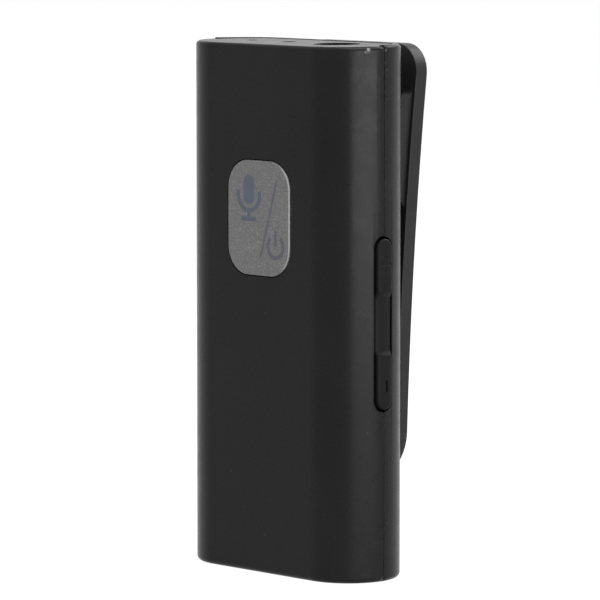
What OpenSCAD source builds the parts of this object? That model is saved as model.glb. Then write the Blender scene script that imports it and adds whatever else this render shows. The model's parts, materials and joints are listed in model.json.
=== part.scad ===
// Clip-on wireless lavalier pack: a moulded two-shell housing with a mode button on the front,
// a volume rocker in the side seam, a sprung clip on the back and a headphone jack in the top.
// Millimetres. +Z is up, -Y is the front, +Y is the back with the clip.
// The origin is the centre of the housing's bottom face.

/* [Housing] */
// Width of the housing, side to side
body_w = 28.2; // [27:0.1:34]
// Depth of the housing, front to back
body_d = 11.6; // [11.2:0.1:14]
// Height of the housing
body_h = 59.5; // [58.5:0.5:75]
// Thickness of the front, side and back walls
side_wall = 1.2; // [1.1:0.05:1.4]
// Thickness of the top and bottom walls
end_wall = 1.4; // [1.2:0.1:1.8]
// Radius of the rounded top edge
top_edge_r = 0.4; // [0.2:0.05:0.7]
// Radius of the rounded bottom edge
base_edge_r = 0.6; // [0.3:0.05:0.8]
// Width of the open seam between the two shells
seam_gap = 0.1; // [0.06:0.02:0.2]
// Width of the back shell's rim around the end walls
rim_w = 0.9; // [0.8:0.05:1]
// Height of that rim above the top wall
rim_step = 0.1; // [0:0.02:0.2]
// Height of the locating lip inside the seam
lip_h = 0.9; // [0.7:0.1:1.2]
// Thickness of the locating lip
lip_t = 0.5; // [0.4:0.05:0.6]

/* [Snap tabs] */
// Length of each snap tab along the side
snap_len = 4; // [3:0.5:5]
// Thickness of each snap tab
snap_t = 0.7; // [0.6:0.05:0.9]
// How far each tab reaches past the seam
snap_reach = 2.6; // [2.2:0.1:3]
// How far each tab's catch stands out
snap_catch = 0.3; // [0.2:0.05:0.4]
// Gap along the side between each tab and the rocker's flange
snap_gap = 3.5; // [2.5:0.25:4]

/* [Mode button] */
// Width of the button face
button_w = 10.2; // [8:0.1:11]
// Height of the button face
button_h = 12.8; // [10:0.1:14]
// Corner radius of the button face
button_r = 3.2; // [2.4:0.1:4]
// Distance of the button's centre below the top
button_drop = 19.5; // [16:0.5:21]
// Gap between the button and the front wall
button_gap = 0.15; // [0.1:0.01:0.25]
// How far the button stands out of the front wall
button_proud = 0.15; // [0:0.05:0.5]
// Width of the flange that holds the button in
button_flange = 0.7; // [0.5:0.05:1]
// Thickness of that flange
button_flange_t = 0.6; // [0.4:0.05:0.7]
// Travel of the button
button_travel = 0.25; // [0.15:0.01:0.3]

/* [Volume rocker] */
// Distance of the rocker's centre below the top
rocker_drop = 30.75; // [29.5:0.25:32]
// Length of the rocker key
rocker_len = 19; // [17:0.1:20]
// Width of the rocker key
rocker_w = 2.2; // [1.8:0.1:2.4]
// Gap between the rocker and its slot
rocker_gap = 0.2; // [0.16:0.02:0.3]
// Height of the end pads above the side
pad_proud = 0.25; // [0.1:0.05:0.5]
// Depth of the waist below the side
waist_depth = 0.1; // [0.05:0.05:0.3]
// Length of the waist between the two pads
waist_len = 5.8; // [4.5:0.1:7]
// Length of the slope between the waist and a pad
shoulder_len = 0.65; // [0.4:0.05:1]
// Radius of the rocker's trunnion
trunnion_r = 0.5; // [0.4:0.05:0.55]
// Largest tilt of the rocker, in degrees
rocker_tilt = 1.6; // [1:0.1:1.7]

/* [Clip] */
// Width of the clip
clip_w = 20; // [18.6:0.1:22]
// Thickness of the clip's blade
clip_t = 1.7; // [1.4:0.05:2]
// Height of the clip's foot above the base
clip_foot_z = 10; // [8:0.5:12]
// Distance of the clip's top below the housing's top
clip_top_drop = 0.25; // [0:0.05:1]
// Corner radius at the clip's top
clip_top_r = 3.5; // [2.5:0.1:5]
// Corner radius at the clip's foot
clip_foot_r = 5.8; // [4:0.1:7]
// Bow radius of the blade's outer face
clip_bow_r = 501; // [470:1:540]
// Height above the base where the blade meets the housing
clip_touch_z = 14; // [13:0.5:15]
// Gap left between the blade and the housing
clip_touch_gap = 0.06; // [0.04:0.01:0.1]
// Gap between the housing and the blade at the hinge
hinge_gap = 2.475; // [2.47:0.005:2.8]
// Distance of the hinge axis below the top
hinge_drop = 9; // [8.5:0.1:9.5]
// Thickness of each ear of the clip
ear_t = 1.4; // [1.2:0.05:1.5]
// Distance of the ears in from the clip's edges
ear_inset = 0.4; // [0.2:0.05:0.6]
// Height of the ears below the hinge axis
ear_len = 9.4; // [8:0.1:11]
// Height above the hinge axis where the ears' slope runs into the blade
ear_rise = 3.3; // [3:0.05:3.6]
// Angle of that slope to the level, in degrees
ear_slope = 43.4; // [40:0.2:46]
// Radius of the hinge pin
pin_r = 0.6; // [0.5:0.02:0.62]
// Running clearance of the pin in the ears
pin_clear = 0.05; // [0.03:0.01:0.08]
// Gap between each ear and its lug
ear_gap = 0.2; // [0.15:0.01:0.3]
// Clearance of the knuckles from the blade and the housing
knuckle_clear = 0.13; // [0.1:0.01:0.16]

/* [Clip spring] */
// Radius of the spring wire
wire_r = 0.22; // [0.18:0.01:0.23]
// Full turns of the coil, with half a turn more at its end
coil_turns = 6; // [4:1:7]
// Distance from one turn to the next
coil_pitch = 1; // [0.92:0.02:1.1]
// Length of the spring's two legs
leg_len = 6; // [4:0.1:7]

/* [Headphone jack] */
// Distance of the jack's axis from the middle
jack_x = 6.45; // [6.2:0.05:6.6]
// Radius of the jack's bore
jack_bore_r = 1.8; // [1.75:0.01:1.85]
// Depth of the jack's bore from the mouth of its nose
jack_bore_len = 12.9; // [12:0.1:13]
// Radius of the jack's nose
jack_nose_r = 2.45; // [2.3:0.05:2.5]
// Radius of the hole in the top wall
jack_hole_r = 2.6; // [2.55:0.01:2.8]
// Depth of the nose below the top face
jack_recess = 0.6; // [0.4:0.05:0.8]
// Width of the jack's block
jack_w = 6; // [5.6:0.1:6.2]
// Depth of the jack's block, front to back
jack_d = 5; // [4.8:0.1:5.2]
// Length of the jack's block
jack_len = 13; // [12.6:0.1:13.2]

/* [Microphone and lamp] */
// Distance of the microphone from the middle, to the left
mic_x = 7.4; // [6.8:0.1:7.8]
// Radius of the sound hole in the top wall
mic_hole_r = 0.55; // [0.4:0.05:0.7]
// Radius of the microphone capsule
capsule_r = 2; // [1.5:0.05:2.1]
// Height of the microphone capsule
capsule_h = 1.5; // [1.2:0.1:1.7]
// Wall of the rubber boot round the capsule
boot_wall = 0.5; // [0.4:0.05:0.6]
// Distance of the lamp from the middle, to the left
lamp_x = 1.4; // [0.8:0.1:1.8]
// Radius of the light pipe
pipe_r = 0.8; // [0.6:0.05:0.9]

/* [Board and battery] */
// Thickness of the circuit board
board_t = 0.8; // [0.6:0.05:0.9]
// Distance of the board's edges in from the housing's sides
board_inset = 3.3; // [3.2:0.05:3.6]
// Width of the battery
cell_w = 17; // [14:0.1:17.6]
// Thickness of the battery
cell_t = 4.2; // [3.4:0.1:4.3]
// Gap along the housing between the port and the battery
cell_port_gap = 4.4; // [4:0.1:5]
// Gap along the housing between the battery and the jack
cell_jack_gap = 2.95; // [2.6:0.05:4]
// Radius of the screws that hold the board
screw_r = 0.7; // [0.5:0.05:0.75]

/* [Charging port] */
// Width of the port's metal shell
port_w = 8.94; // [8.6:0.02:9]
// Height of the port's metal shell
port_h = 3.2; // [3.1:0.02:3.3]
// Length of the port's metal shell
port_len = 7.3; // [6.5:0.1:7.5]
// Thickness of the port's metal shell
port_wall = 0.3; // [0.2:0.02:0.34]
// Gap between the port and the bottom wall
port_gap = 0.18; // [0.1:0.01:0.3]

/* [Hidden] */
$fn = 96;
eps = 0.01;
fit_gap = 0.05;      // between two pieces that seat on each other
loose_gap = 0.1;     // between two pieces that only lie side by side
big = 200;           // longer than the whole object

// Housing
end_r = body_d / 2;
end_x = body_w / 2 - end_r;
cavity_r = end_r - side_wall;
top_z = body_h - rim_step;
ceiling_z = top_z - end_wall;
seam_y = seam_gap / 2;
lip_inset = side_wall - lip_t;
lip_clear = 0.06;
lip_end_gap = 0.3;
snap_catch_len = 0.8;
snap_root = 1.2;      // how far each tab runs along the front shell's wall
front_inner_y = -cavity_r;
back_inner_y = cavity_r;

// Board: its rear face carries the charging port, so that the port is in the middle of the depth
board_back_y = -port_h / 2;
board_front_y = board_back_y - board_t;
board_half = body_w / 2 - board_inset;
board_low_z = end_wall + 0.5;
board_top_z = ceiling_z - 4.6;

// Jack
jack_top_z = ceiling_z - fit_gap;
jack_low_z = jack_top_z - jack_len;
jack_mouth_z = top_z - jack_recess;

// Board screws: heads on the board's rear face, threads in the front shell's bosses
screw_low_rise = 6.7;
screw_top_drop = 3.2;
screw_edge = 1.8;
screw_jack_gap = 2.6;
screw_head_r = screw_r + 0.55;
screw_head_h = 0.8;
screw_len = 1.6;
boss_wall = 0.6;
boss_r = screw_r + boss_wall;
screw_x = board_half - screw_edge;
screw_at = [
    [-screw_x, board_low_z + screw_low_rise],
    [screw_x, board_low_z + screw_low_rise],
    [-screw_x, board_top_z - screw_top_drop],
    [screw_x, jack_low_z - screw_jack_gap]
];

// Charging port
port_recess = 0.3;
port_back = port_recess + port_len;

// Mode button and its switch
button_z = body_h - button_drop;
button_front_y = -end_r - button_proud;
flange_front_y = front_inner_y + fit_gap;
flange_back_y = flange_front_y + button_flange_t;
switch_h = 0.8;
switch_w = 4.5;
plunger_r = 1.1;
plunger_proud = button_travel + 0.1;
plunger_tip_y = board_front_y - switch_h - plunger_proud;
plunger_len = 0.6;
nub_r = 1.6;

// Volume rocker: trunnions in a boss on each shell
rocker_z = body_h - rocker_drop;
rocker_flange_r = cavity_r - 0.35;
rocker_flange_t = 0.6;
rocker_flange_side = 0.6;
rocker_flange_end = 0.5;
rocker_flange_w = rocker_w + 2 * (rocker_gap + rocker_flange_side);
rocker_flange_len = rocker_len + 2 * (rocker_gap + rocker_flange_end);
trunnion_x = end_x + rocker_flange_r - 0.55;
trunnion_y = rocker_flange_w / 2 + 1;
trunnion_clear = 0.05;
rocker_boss_y = rocker_flange_w / 2 + 0.2;
rocker_boss_wall = 0.4;
rocker_boss_rise = 0.6;
rocker_boss_end = 0.7;
rocker_boss_x = trunnion_x - trunnion_r - trunnion_clear - rocker_boss_wall;
snap_step = rocker_flange_len / 2 + snap_gap + snap_len / 2;
snap_z = [rocker_z - snap_step, rocker_z + snap_step];

// Volume switches at the board's edge, one under each pad
side_switch_step = 6.5;
side_switch_w = 2.4;
side_switch_h = 1.6;
side_switch_len = 3.6;
side_switch_x = board_half - 0.1;
side_plunger_w = 0.9;
side_plunger_len = 1.6;
side_plunger_y = board_back_y + side_switch_h / 2;
side_plunger_tip_x = end_x + sqrt(pow(rocker_flange_r - rocker_flange_t, 2)
    - pow(abs(side_plunger_y) + side_plunger_w / 2, 2)) - 0.02;
side_plunger_root = 0.3;
side_plunger_clear = 0.1;
side_plunger_space = 0.35;

// Clip: its inner face is an arc that passes the touch point and the hinge at their gaps
back_y = end_r;
clip_top_z = body_h - clip_top_drop;
hinge_z = body_h - hinge_drop;
hinge_y = back_y + hinge_gap / 2;
knuckle_r = hinge_gap / 2 - knuckle_clear;
arc_r = clip_bow_r + clip_t;
touch_point = [back_y + clip_touch_gap, clip_touch_z];
hinge_point = [back_y + hinge_gap, hinge_z];
chord = hinge_point - touch_point;
chord_rise = sqrt(arc_r * arc_r - pow(norm(chord) / 2, 2));
arc_centre = (touch_point + hinge_point) / 2 + chord_rise / norm(chord) * [chord[1], -chord[0]];
blade_hinge_lean = asin((hinge_z - arc_centre[1]) / arc_r);
ear_out = clip_w / 2 - ear_inset;
ear_in = ear_out - ear_t;
lug_out = ear_in - ear_gap;
pin_reach = 0.9;
pin_half = ear_in + pin_reach;
pin_seat = 0.01;
ear_bore_end = 0.1;
ear_slope_len = 3.07;
ear_fillet_r = 1;
ear_root = 1.6;       // how far the ears' outline runs into the blade
ear_tail_rise = 1.8;  // height of the slope at the ears' tail
ear_tail_out = 0.35;  // how far past the hinge axis the tail's end begins

// Clip spring: a coil round the pin between the lugs
coil_sides = 6;
coil_rings = 8;       // along one turn
coil_r = (pin_r + loose_gap / 2 + wire_r) / cos(180 / coil_rings);
coil_half = (coil_turns + 0.5) * coil_pitch / 2;
lug_in = coil_half + wire_r + 0.3;

// Microphone
boot_r = capsule_r + boot_wall;
boot_roof = 0.7;
boot_h = boot_roof + capsule_h + 0.1;
boot_hole_r = mic_hole_r + 0.25;
mesh_r = mic_hole_r + 0.85;
mesh_t = 0.12;
collar_t = 0.6;
collar_h = 1.2;
mic_lead_r = 0.2;
mic_lead_y = board_back_y + mic_lead_r + 0.02;

// Battery, on an adhesive pad against the back wall
pad_t = 0.2;
cell_back_y = back_inner_y - pad_t - fit_gap;
cell_front_y = cell_back_y - cell_t;
cell_z = port_recess + port_len + cell_port_gap;
cell_top_z = jack_low_z - cell_jack_gap;
cell_corner_r = 1.2;
strip_len = 2.4;
lead_r = 0.35;
lead_x = [-6.2, -4.6];
lead_rise = 1.5;

// Radio parts on the board's rear face
can_w = 12;
can_h = 1.2;
can_len = 14;
can_z = 16;
can_wall = 0.2;

// ---------- helpers ----------

// A box between two opposite corners
module box(low, high) {
    translate(low)
        cube(high - low);
}

// A flat outline (x, z) made solid from y0 to y1
module slab_y(y0, y1) {
    translate([0, y1, 0])
        rotate([90, 0, 0])
            linear_extrude(y1 - y0)
                children();
}

// A flat outline (y, z) made solid from x0 to x1
module slab_x(x0, x1) {
    translate([x0, 0, 0])
        rotate([90, 0, 90])
            linear_extrude(x1 - x0)
                children();
}

// A flat outline (x, y) made solid from z0 to z1
module slab_z(z0, z1) {
    translate([0, 0, z0])
        linear_extrude(z1 - z0)
            children();
}

module rod_x(r, x0, x1, y, z) {
    translate([x0, y, z])
        rotate([0, 90, 0])
            cylinder(r = r, h = x1 - x0);
}

module rod_y(r, y0, y1, x, z) {
    translate([x, y1, z])
        rotate([90, 0, 0])
            cylinder(r = r, h = y1 - y0);
}

module rod_z(r, z0, z1, x, y) {
    translate([x, y, z0])
        cylinder(r = r, h = z1 - z0);
}

// A rectangle with round corners, centred
module round_rect(w, h, r) {
    square([w - 2 * r, h], center = true);
    square([w, h - 2 * r], center = true);
    for (sx = [-1, 1], sy = [-1, 1])
        translate([sx * (w / 2 - r), sy * (h / 2 - r)])
            circle(r);
}

// A rectangle with two half-round ends, longer along x, centred
module stadium(w, d) {
    square([w - d, d], center = true);
    for (s = [-1, 1])
        translate([s * (w - d) / 2, 0])
            circle(d / 2);
}

// The housing's outline, taken in by inset, from z0 to z1
module housing_prism(inset, z0, z1) {
    slab_z(z0, z1)
        stadium(body_w - 2 * inset, body_d - 2 * inset);
}

// Half the section of the housing, with its rounded top and bottom edges
module edge_section(half, height) {
    square([half - base_edge_r, height / 2]);
    translate([0, height / 2])
        square([half - top_edge_r, height / 2]);
    translate([0, base_edge_r])
        square([half, height - base_edge_r - top_edge_r]);
    translate([half - base_edge_r, base_edge_r])
        circle(base_edge_r);
    translate([half - top_edge_r, height - top_edge_r])
        circle(top_edge_r);
}

// The housing's outer form
module housing_form(height) {
    for (s = [-1, 1])
        translate([s * end_x, 0, 0])
            rotate_extrude()
                edge_section(end_r, height);
    slab_x(-end_x, end_x) {
        edge_section(end_r, height);
        mirror([1, 0])
            edge_section(end_r, height);
    }
}

module front_half(y) {
    box([-big, -big, -big], [big, y, big]);
}

module back_half(y) {
    box([-big, y, -big], [big, big, big]);
}

// ---------- openings that both shells share ----------

// The rocker's slot runs through both shells where they meet
module rocker_slot() {
    translate([0, 0, rocker_z])
        slab_x(end_x + cavity_r - 1, end_x + end_r + 1)
            rotate(90)
                stadium(rocker_len + 2 * rocker_gap, rocker_w + 2 * rocker_gap);
}

// A boss for one trunnion: side is -1 on the front shell and 1 on the rear shell
module rocker_boss(side) {
    boss_half_z = trunnion_r + trunnion_clear + rocker_boss_rise;
    near = side * rocker_boss_y;
    far = side * (trunnion_y + rocker_boss_end);
    intersection() {
        box([rocker_boss_x, min(near, far), rocker_z - boss_half_z],
            [end_x + end_r, max(near, far), rocker_z + boss_half_z]);
        housing_prism(side_wall / 2, 0, body_h);
    }
}

module rocker_boss_bore() {
    rod_y(trunnion_r + trunnion_clear, -trunnion_y - 0.1, trunnion_y + 0.1, trunnion_x, rocker_z);
}

// ---------- front shell ----------

// The lip that locates the rear shell, standing in the seam
module seam_lip() {
    intersection() {
        difference() {
            housing_prism(lip_inset, end_wall + lip_end_gap, ceiling_z - lip_end_gap);
            housing_prism(side_wall, 0, body_h);
        }
        box([-big, -seam_y - eps, 0], [big, lip_h, body_h]);
    }
}

// One snap tab at height z on the side s
module snap_tab(s, z) {
    tab_inset = side_wall + loose_gap;
    inner_inset = tab_inset + snap_t;
    low = z - snap_len / 2;
    high = z + snap_len / 2;
    catch_y = snap_reach - snap_catch_len;
    intersection() {
        difference() {
            union() {
                intersection() {
                    housing_prism(side_wall - eps, low, high);
                    front_half(lip_h);
                }
                housing_prism(tab_inset, low, high);
                intersection() {
                    housing_prism(tab_inset - snap_catch, low, high);
                    back_half(catch_y);
                }
            }
            housing_prism(inner_inset, low - 1, high + 1);
        }
        box([min(s * end_x, s * big), -snap_root, low], [max(s * end_x, s * big), snap_reach, high]);
    }
}

// Pockets in the rear shell for the catches of the snap tabs
module snap_pockets() {
    pocket_gap = 0.15;
    for (s = [-1, 1], z = snap_z)
        intersection() {
            housing_prism(side_wall + loose_gap - snap_catch - loose_gap, z - snap_len / 2 - pocket_gap,
                z + snap_len / 2 + pocket_gap);
            box([min(s * end_x, s * big), snap_reach - snap_catch_len - pocket_gap, 0],
                [max(s * end_x, s * big), snap_reach + pocket_gap, body_h]);
        }
}

module button_opening() {
    translate([0, 0, button_z])
        slab_y(-end_r - 1, front_inner_y + 0.1)
            round_rect(button_w + 2 * button_gap, button_h + 2 * button_gap, button_r + button_gap);
}

module front_shell() {
    color("#2b2b2c")
    difference() {
        union() {
            difference() {
                intersection() {
                    housing_form(top_z);
                    front_half(-seam_y);
                }
                housing_prism(side_wall, end_wall, ceiling_z);
            }
            housing_prism(rim_w + seam_gap, 0, end_wall);
            housing_prism(rim_w + seam_gap, ceiling_z, top_z);
            seam_lip();
            for (s = [-1, 1], z = snap_z)
                snap_tab(s, z);
            for (p = screw_at)
                rod_y(boss_r, front_inner_y - eps, board_front_y - fit_gap / 2, p[0], p[1]);
            rocker_boss(-1);
            rod_z(boot_r + fit_gap + collar_t, ceiling_z - collar_h, ceiling_z + eps, -mic_x, 0);
        }
        for (p = screw_at)
            rod_y(screw_r + eps, front_inner_y, board_front_y + 1, p[0], p[1]);
        rocker_boss_bore();
        rocker_slot();
        button_opening();
        rod_z(jack_hole_r, ceiling_z - 1, top_z + 1, jack_x, 0);
        rod_z(mic_hole_r, ceiling_z - 1, top_z + 1, -mic_x, 0);
        rod_z(mesh_r + fit_gap, ceiling_z - 1, ceiling_z + mesh_t + 0.03, -mic_x, 0);
        rod_z(boot_r + fit_gap, ceiling_z - collar_h - 1, ceiling_z, -mic_x, 0);
        rod_z(pipe_r + fit_gap, ceiling_z - 1, top_z + 1, -lamp_x, 0);
        slab_z(-1, end_wall + 1)
            stadium(port_w + 2 * port_gap, port_h + 2 * port_gap);
    }
}

// ---------- rear shell ----------

// One hinge lug, from x0 to x1, with a foot that runs out into the back wall
module hinge_lug(x0, x1) {
    foot = 0.5;
    slab_x(x0, x1) {
        translate([hinge_y, hinge_z])
            circle(knuckle_r);
        polygon([
            [back_y - side_wall / 2, hinge_z - knuckle_r - foot],
            [back_y, hinge_z - knuckle_r - foot],
            [hinge_y, hinge_z - knuckle_r],
            [hinge_y, hinge_z + knuckle_r],
            [back_y, hinge_z + knuckle_r + foot],
            [back_y - side_wall / 2, hinge_z + knuckle_r + foot]
        ]);
    }
}

// A rib across the back wall that stops the battery
module battery_stop(z) {
    stop_t = 0.8;
    stop_h = 1.6;
    stop_w = 12;
    box([-stop_w / 2, back_inner_y - stop_h, z - stop_t / 2],
        [stop_w / 2, back_inner_y + eps, z + stop_t / 2]);
}

module rear_shell() {
    stop_gap = 0.6;
    color("#2f2f30")
    difference() {
        union() {
            difference() {
                intersection() {
                    housing_form(body_h);
                    back_half(seam_y);
                }
                housing_prism(side_wall, 0, body_h);
                housing_prism(rim_w, -1, end_wall + loose_gap);
                housing_prism(rim_w, ceiling_z - loose_gap, body_h + 1);
                intersection() {
                    housing_prism(lip_inset - lip_clear, end_wall, ceiling_z);
                    front_half(lip_h + loose_gap);
                }
                snap_pockets();
            }
            for (s = [-1, 1])
                hinge_lug(min(s * lug_in, s * lug_out), max(s * lug_in, s * lug_out));
            rocker_boss(1);
            battery_stop(cell_z - stop_gap);
            battery_stop(cell_top_z + stop_gap);
        }
        rod_x(pin_r + pin_seat, -big, big, hinge_y, hinge_z);
        rocker_boss_bore();
        rocker_slot();
    }
}

// ---------- mode button ----------

module mode_button() {
    color("#77777a") {
        translate([0, 0, button_z]) {
            slab_y(button_front_y, flange_back_y)
                round_rect(button_w, button_h, button_r);
            slab_y(flange_front_y, flange_back_y)
                round_rect(button_w + 2 * button_flange, button_h + 2 * button_flange,
                    button_r + button_flange);
        }
        rod_y(nub_r, flange_back_y - eps, plunger_tip_y, 0, button_z);
    }
}

module mode_switch() {
    corner = 0.4;
    floor_t = 0.2;
    color("silver")
    difference() {
        translate([0, 0, button_z])
            slab_y(board_front_y - switch_h, board_front_y)
                round_rect(switch_w, switch_w, corner);
        rod_y(plunger_r + loose_gap, board_front_y - switch_h - 1, board_front_y - floor_t, 0, button_z);
    }
}

module mode_switch_plunger() {
    color("black")
    rod_y(plunger_r, plunger_tip_y, plunger_tip_y + plunger_len, 0, button_z);
}

// ---------- volume rocker ----------

// A round post on the axis of the housing's right-hand end
module end_post(r, z0, z1) {
    rod_z(r, z0, z1, end_x, 0);
}

// The key: two pads, with a waist between them, all following the curve of the side
module rocker_key() {
    half = rocker_len / 2;
    waist = waist_len / 2;
    root_x = end_x + rocker_flange_r - 0.2;
    pad_x = end_x + end_r + pad_proud;
    waist_x = end_x + end_r - waist_depth;
    intersection() {
        slab_x(root_x, pad_x + 1)
            rotate(90)
                stadium(rocker_len, rocker_w);
        slab_y(-rocker_w, rocker_w)
            polygon([
                [root_x - 1, -half - 1], [pad_x, -half - 1],
                [pad_x, -waist - shoulder_len], [waist_x, -waist],
                [waist_x, waist], [pad_x, waist + shoulder_len],
                [pad_x, half + 1], [root_x - 1, half + 1]
            ]);
        end_post(end_r + pad_proud, -half - 1, half + 1);
    }
}

// The curved flange behind the wall
module rocker_flange() {
    half = rocker_flange_len / 2;
    intersection() {
        difference() {
            end_post(rocker_flange_r, -half, half);
            end_post(rocker_flange_r - rocker_flange_t, -half - 1, half + 1);
        }
        box([end_x, -rocker_flange_w / 2, -half], [end_x + end_r, rocker_flange_w / 2, half]);
    }
}

module volume_rocker() {
    color("#232325") {
        translate([0, 0, rocker_z]) {
            rocker_key();
            rocker_flange();
        }
        rod_y(trunnion_r, -trunnion_y, trunnion_y, trunnion_x, rocker_z);
    }
}

module side_switch(z) {
    difference() {
        box([side_switch_x - side_switch_w, board_back_y + 0.01, z - side_switch_len / 2],
            [side_switch_x, board_back_y + side_switch_h, z + side_switch_len / 2]);
        side_plunger_form(z, side_plunger_clear, side_plunger_root + side_plunger_space);
    }
}

// The plunger's form, grown all round by grow, with its root inside the switch
module side_plunger_form(z, grow, root) {
    half_w = side_plunger_w / 2 + grow;
    half_len = side_plunger_len / 2 + grow;
    tip_x = side_plunger_tip_x + grow;
    box([side_switch_x - root, side_plunger_y - half_w, z - half_len],
        [tip_x, side_plunger_y + half_w, z + half_len]);
}

module volume_up_switch() {
    color("silver")
    side_switch(rocker_z + side_switch_step);
}

module volume_down_switch() {
    color("silver")
    side_switch(rocker_z - side_switch_step);
}

module volume_up_plunger() {
    color("black")
    side_plunger_form(rocker_z + side_switch_step, 0, side_plunger_root);
}

module volume_down_plunger() {
    color("black")
    side_plunger_form(rocker_z - side_switch_step, 0, side_plunger_root);
}

// ---------- clip ----------

// The blade's outline from behind: round corners, larger at the foot
module blade_outline() {
    half = clip_w / 2;
    polygon([
        [-half, clip_foot_z + clip_foot_r], [-half + clip_foot_r, clip_foot_z],
        [half - clip_foot_r, clip_foot_z], [half, clip_foot_z + clip_foot_r],
        [half, clip_top_z - clip_top_r], [half - clip_top_r, clip_top_z],
        [-half + clip_top_r, clip_top_z], [-half, clip_top_z - clip_top_r]
    ]);
    for (s = [-1, 1]) {
        translate([s * (half - clip_foot_r), clip_foot_z + clip_foot_r])
            circle(clip_foot_r);
        translate([s * (half - clip_top_r), clip_top_z - clip_top_r])
            circle(clip_top_r);
    }
}

// The blade's bowed section
module blade_section() {
    intersection() {
        translate(arc_centre)
            difference() {
                circle(arc_r, $fn = 1440);
                circle(clip_bow_r, $fn = 1440);
            }
        translate([back_y + clip_touch_gap, clip_foot_z - 1])
            square([20, clip_top_z - clip_foot_z + 2]);
    }
}

// One ear's outline: a slope that clears the housing as the clip opens and runs into the
// blade with a hollow fillet, a knuckle on the hinge axis and a tail that runs back into the blade
module ear_outline() {
    tail_z = hinge_z - ear_len;
    along_face = [sin(blade_hinge_lean), cos(blade_hinge_lean)];
    along_slope = [cos(ear_slope), sin(ear_slope)];
    off_slope = [-sin(ear_slope), cos(ear_slope)];
    corner = hinge_point + ear_rise / cos(blade_hinge_lean) * along_face;
    turn = 90 - blade_hinge_lean - ear_slope;
    tangent_len = ear_fillet_r * tan(turn / 2);
    fillet_start = corner - tangent_len * along_slope;
    fillet_centre = fillet_start + ear_fillet_r * off_slope;
    fillet = [
        for (i = [0 : 4])
            let (a = ear_slope - 90 + turn * i / 4)
                fillet_centre + ear_fillet_r * [cos(a), sin(a)]
    ];
    polygon(concat(
        [corner - ear_slope_len * along_slope],
        fillet,
        [
            fillet[4] + [ear_root, 0],
            [fillet[4][0] + ear_root, tail_z],
            [hinge_y + ear_tail_out, tail_z],
            [hinge_y - knuckle_r, tail_z + ear_tail_rise],
            [hinge_y - knuckle_r, hinge_z]
        ]
    ));
    translate([hinge_y, hinge_z])
        circle(knuckle_r);
}

module clip_blade() {
    outer_gap = 0.05;
    color("#303031")
    difference() {
        union() {
            intersection() {
                slab_x(-clip_w / 2, clip_w / 2)
                    blade_section();
                slab_y(back_y, back_y + 20)
                    blade_outline();
            }
            intersection() {
                for (s = [-1, 1])
                    slab_x(min(s * ear_in, s * ear_out), max(s * ear_in, s * ear_out))
                        ear_outline();
                translate([0, arc_centre[0], arc_centre[1]])
                    rotate([90, 0, 90])
                        difference() {
                            translate([0, 0, -clip_w / 2])
                                cylinder(r = arc_r + 20, h = clip_w, $fn = 1440);
                            translate([0, 0, -clip_w])
                                cylinder(r = clip_bow_r + outer_gap, h = 2 * clip_w, $fn = 1440);
                        }
            }
        }
        rod_x(pin_r + pin_clear, -pin_half - ear_bore_end, pin_half + ear_bore_end, hinge_y, hinge_z);
    }
}

module clip_pin() {
    color("silver")
    rod_x(pin_r, -pin_half, pin_half, hinge_y, hinge_z);
}

// ---------- clip spring ----------

// Each station along the wire is [angle round the pin, x, distance along the tangent]
coil_start = 180;
coil_sweep = 360 * coil_turns + 180 - blade_hinge_lean;
coil_steps = round(coil_sweep / 360 * coil_rings);
wire_stations = concat(
    [[coil_start, -coil_half, -leg_len], [coil_start, -coil_half, -leg_len / 2]],
    [for (i = [0 : coil_steps])
        [coil_start + coil_sweep * i / coil_steps, -coil_half + 2 * coil_half * i / coil_steps, 0]],
    [[coil_start + coil_sweep, coil_half, leg_len / 2], [coil_start + coil_sweep, coil_half, leg_len]]
);
function wire_point(st) = [
    st[1],
    hinge_y + coil_r * cos(st[0]) - st[2] * sin(st[0]),
    hinge_z + coil_r * sin(st[0]) + st[2] * cos(st[0])
];
function wire_ring(st) = [
    for (k = [0 : coil_sides - 1])
        let (a = 360 * k / coil_sides, c = wire_point(st), out = wire_r * cos(a), side = wire_r * sin(a))
            [c[0] + side, c[1] + out * cos(st[0]), c[2] + out * sin(st[0])]
];
// Least distance between the surfaces of neighbouring turns, measured on the points
turn_gaps = [
    for (i = [2 : coil_steps + 2 - coil_rings])
        norm(wire_point(wire_stations[i + coil_rings]) - wire_point(wire_stations[i])) - 2 * wire_r
];
echo(least_coil_gap = min(turn_gaps));

module clip_spring() {
    rings = len(wire_stations);
    last = (rings - 1) * coil_sides;
    points = [for (st = wire_stations) each wire_ring(st)];
    walls = [
        for (i = [0 : rings - 2], k = [0 : coil_sides - 1])
            let (a = i * coil_sides + k, b = i * coil_sides + (k + 1) % coil_sides)
                each [[a, b, b + coil_sides], [a, b + coil_sides, a + coil_sides]]
    ];
    first_cap = [for (k = [1 : coil_sides - 2]) [0, k + 1, k]];
    last_cap = [for (k = [1 : coil_sides - 2]) [last, last + k, last + k + 1]];
    color("#8c8c90")
    polyhedron(points = points, faces = concat(walls, first_cap, last_cap));
}

// ---------- board and what it carries ----------

module main_board() {
    jack_side_gap = 0.2;
    color("darkgreen")
    difference() {
        translate([0, 0, (board_low_z + board_top_z) / 2])
            slab_y(board_front_y, board_back_y)
                round_rect(2 * board_half, board_top_z - board_low_z, 1);
        box([jack_x - jack_w / 2 - jack_side_gap, -big, jack_low_z - jack_side_gap], [big, big, big]);
        for (p = screw_at)
            rod_y(screw_r + loose_gap, board_front_y - 1, board_back_y + 1, p[0], p[1]);
    }
}

module board_screws() {
    color("silver")
    for (p = screw_at) {
        rod_y(screw_head_r, board_back_y + eps, board_back_y + screw_head_h, p[0], p[1]);
        rod_y(screw_r, board_front_y - screw_len, board_back_y + 2 * eps, p[0], p[1]);
    }
}

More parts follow.
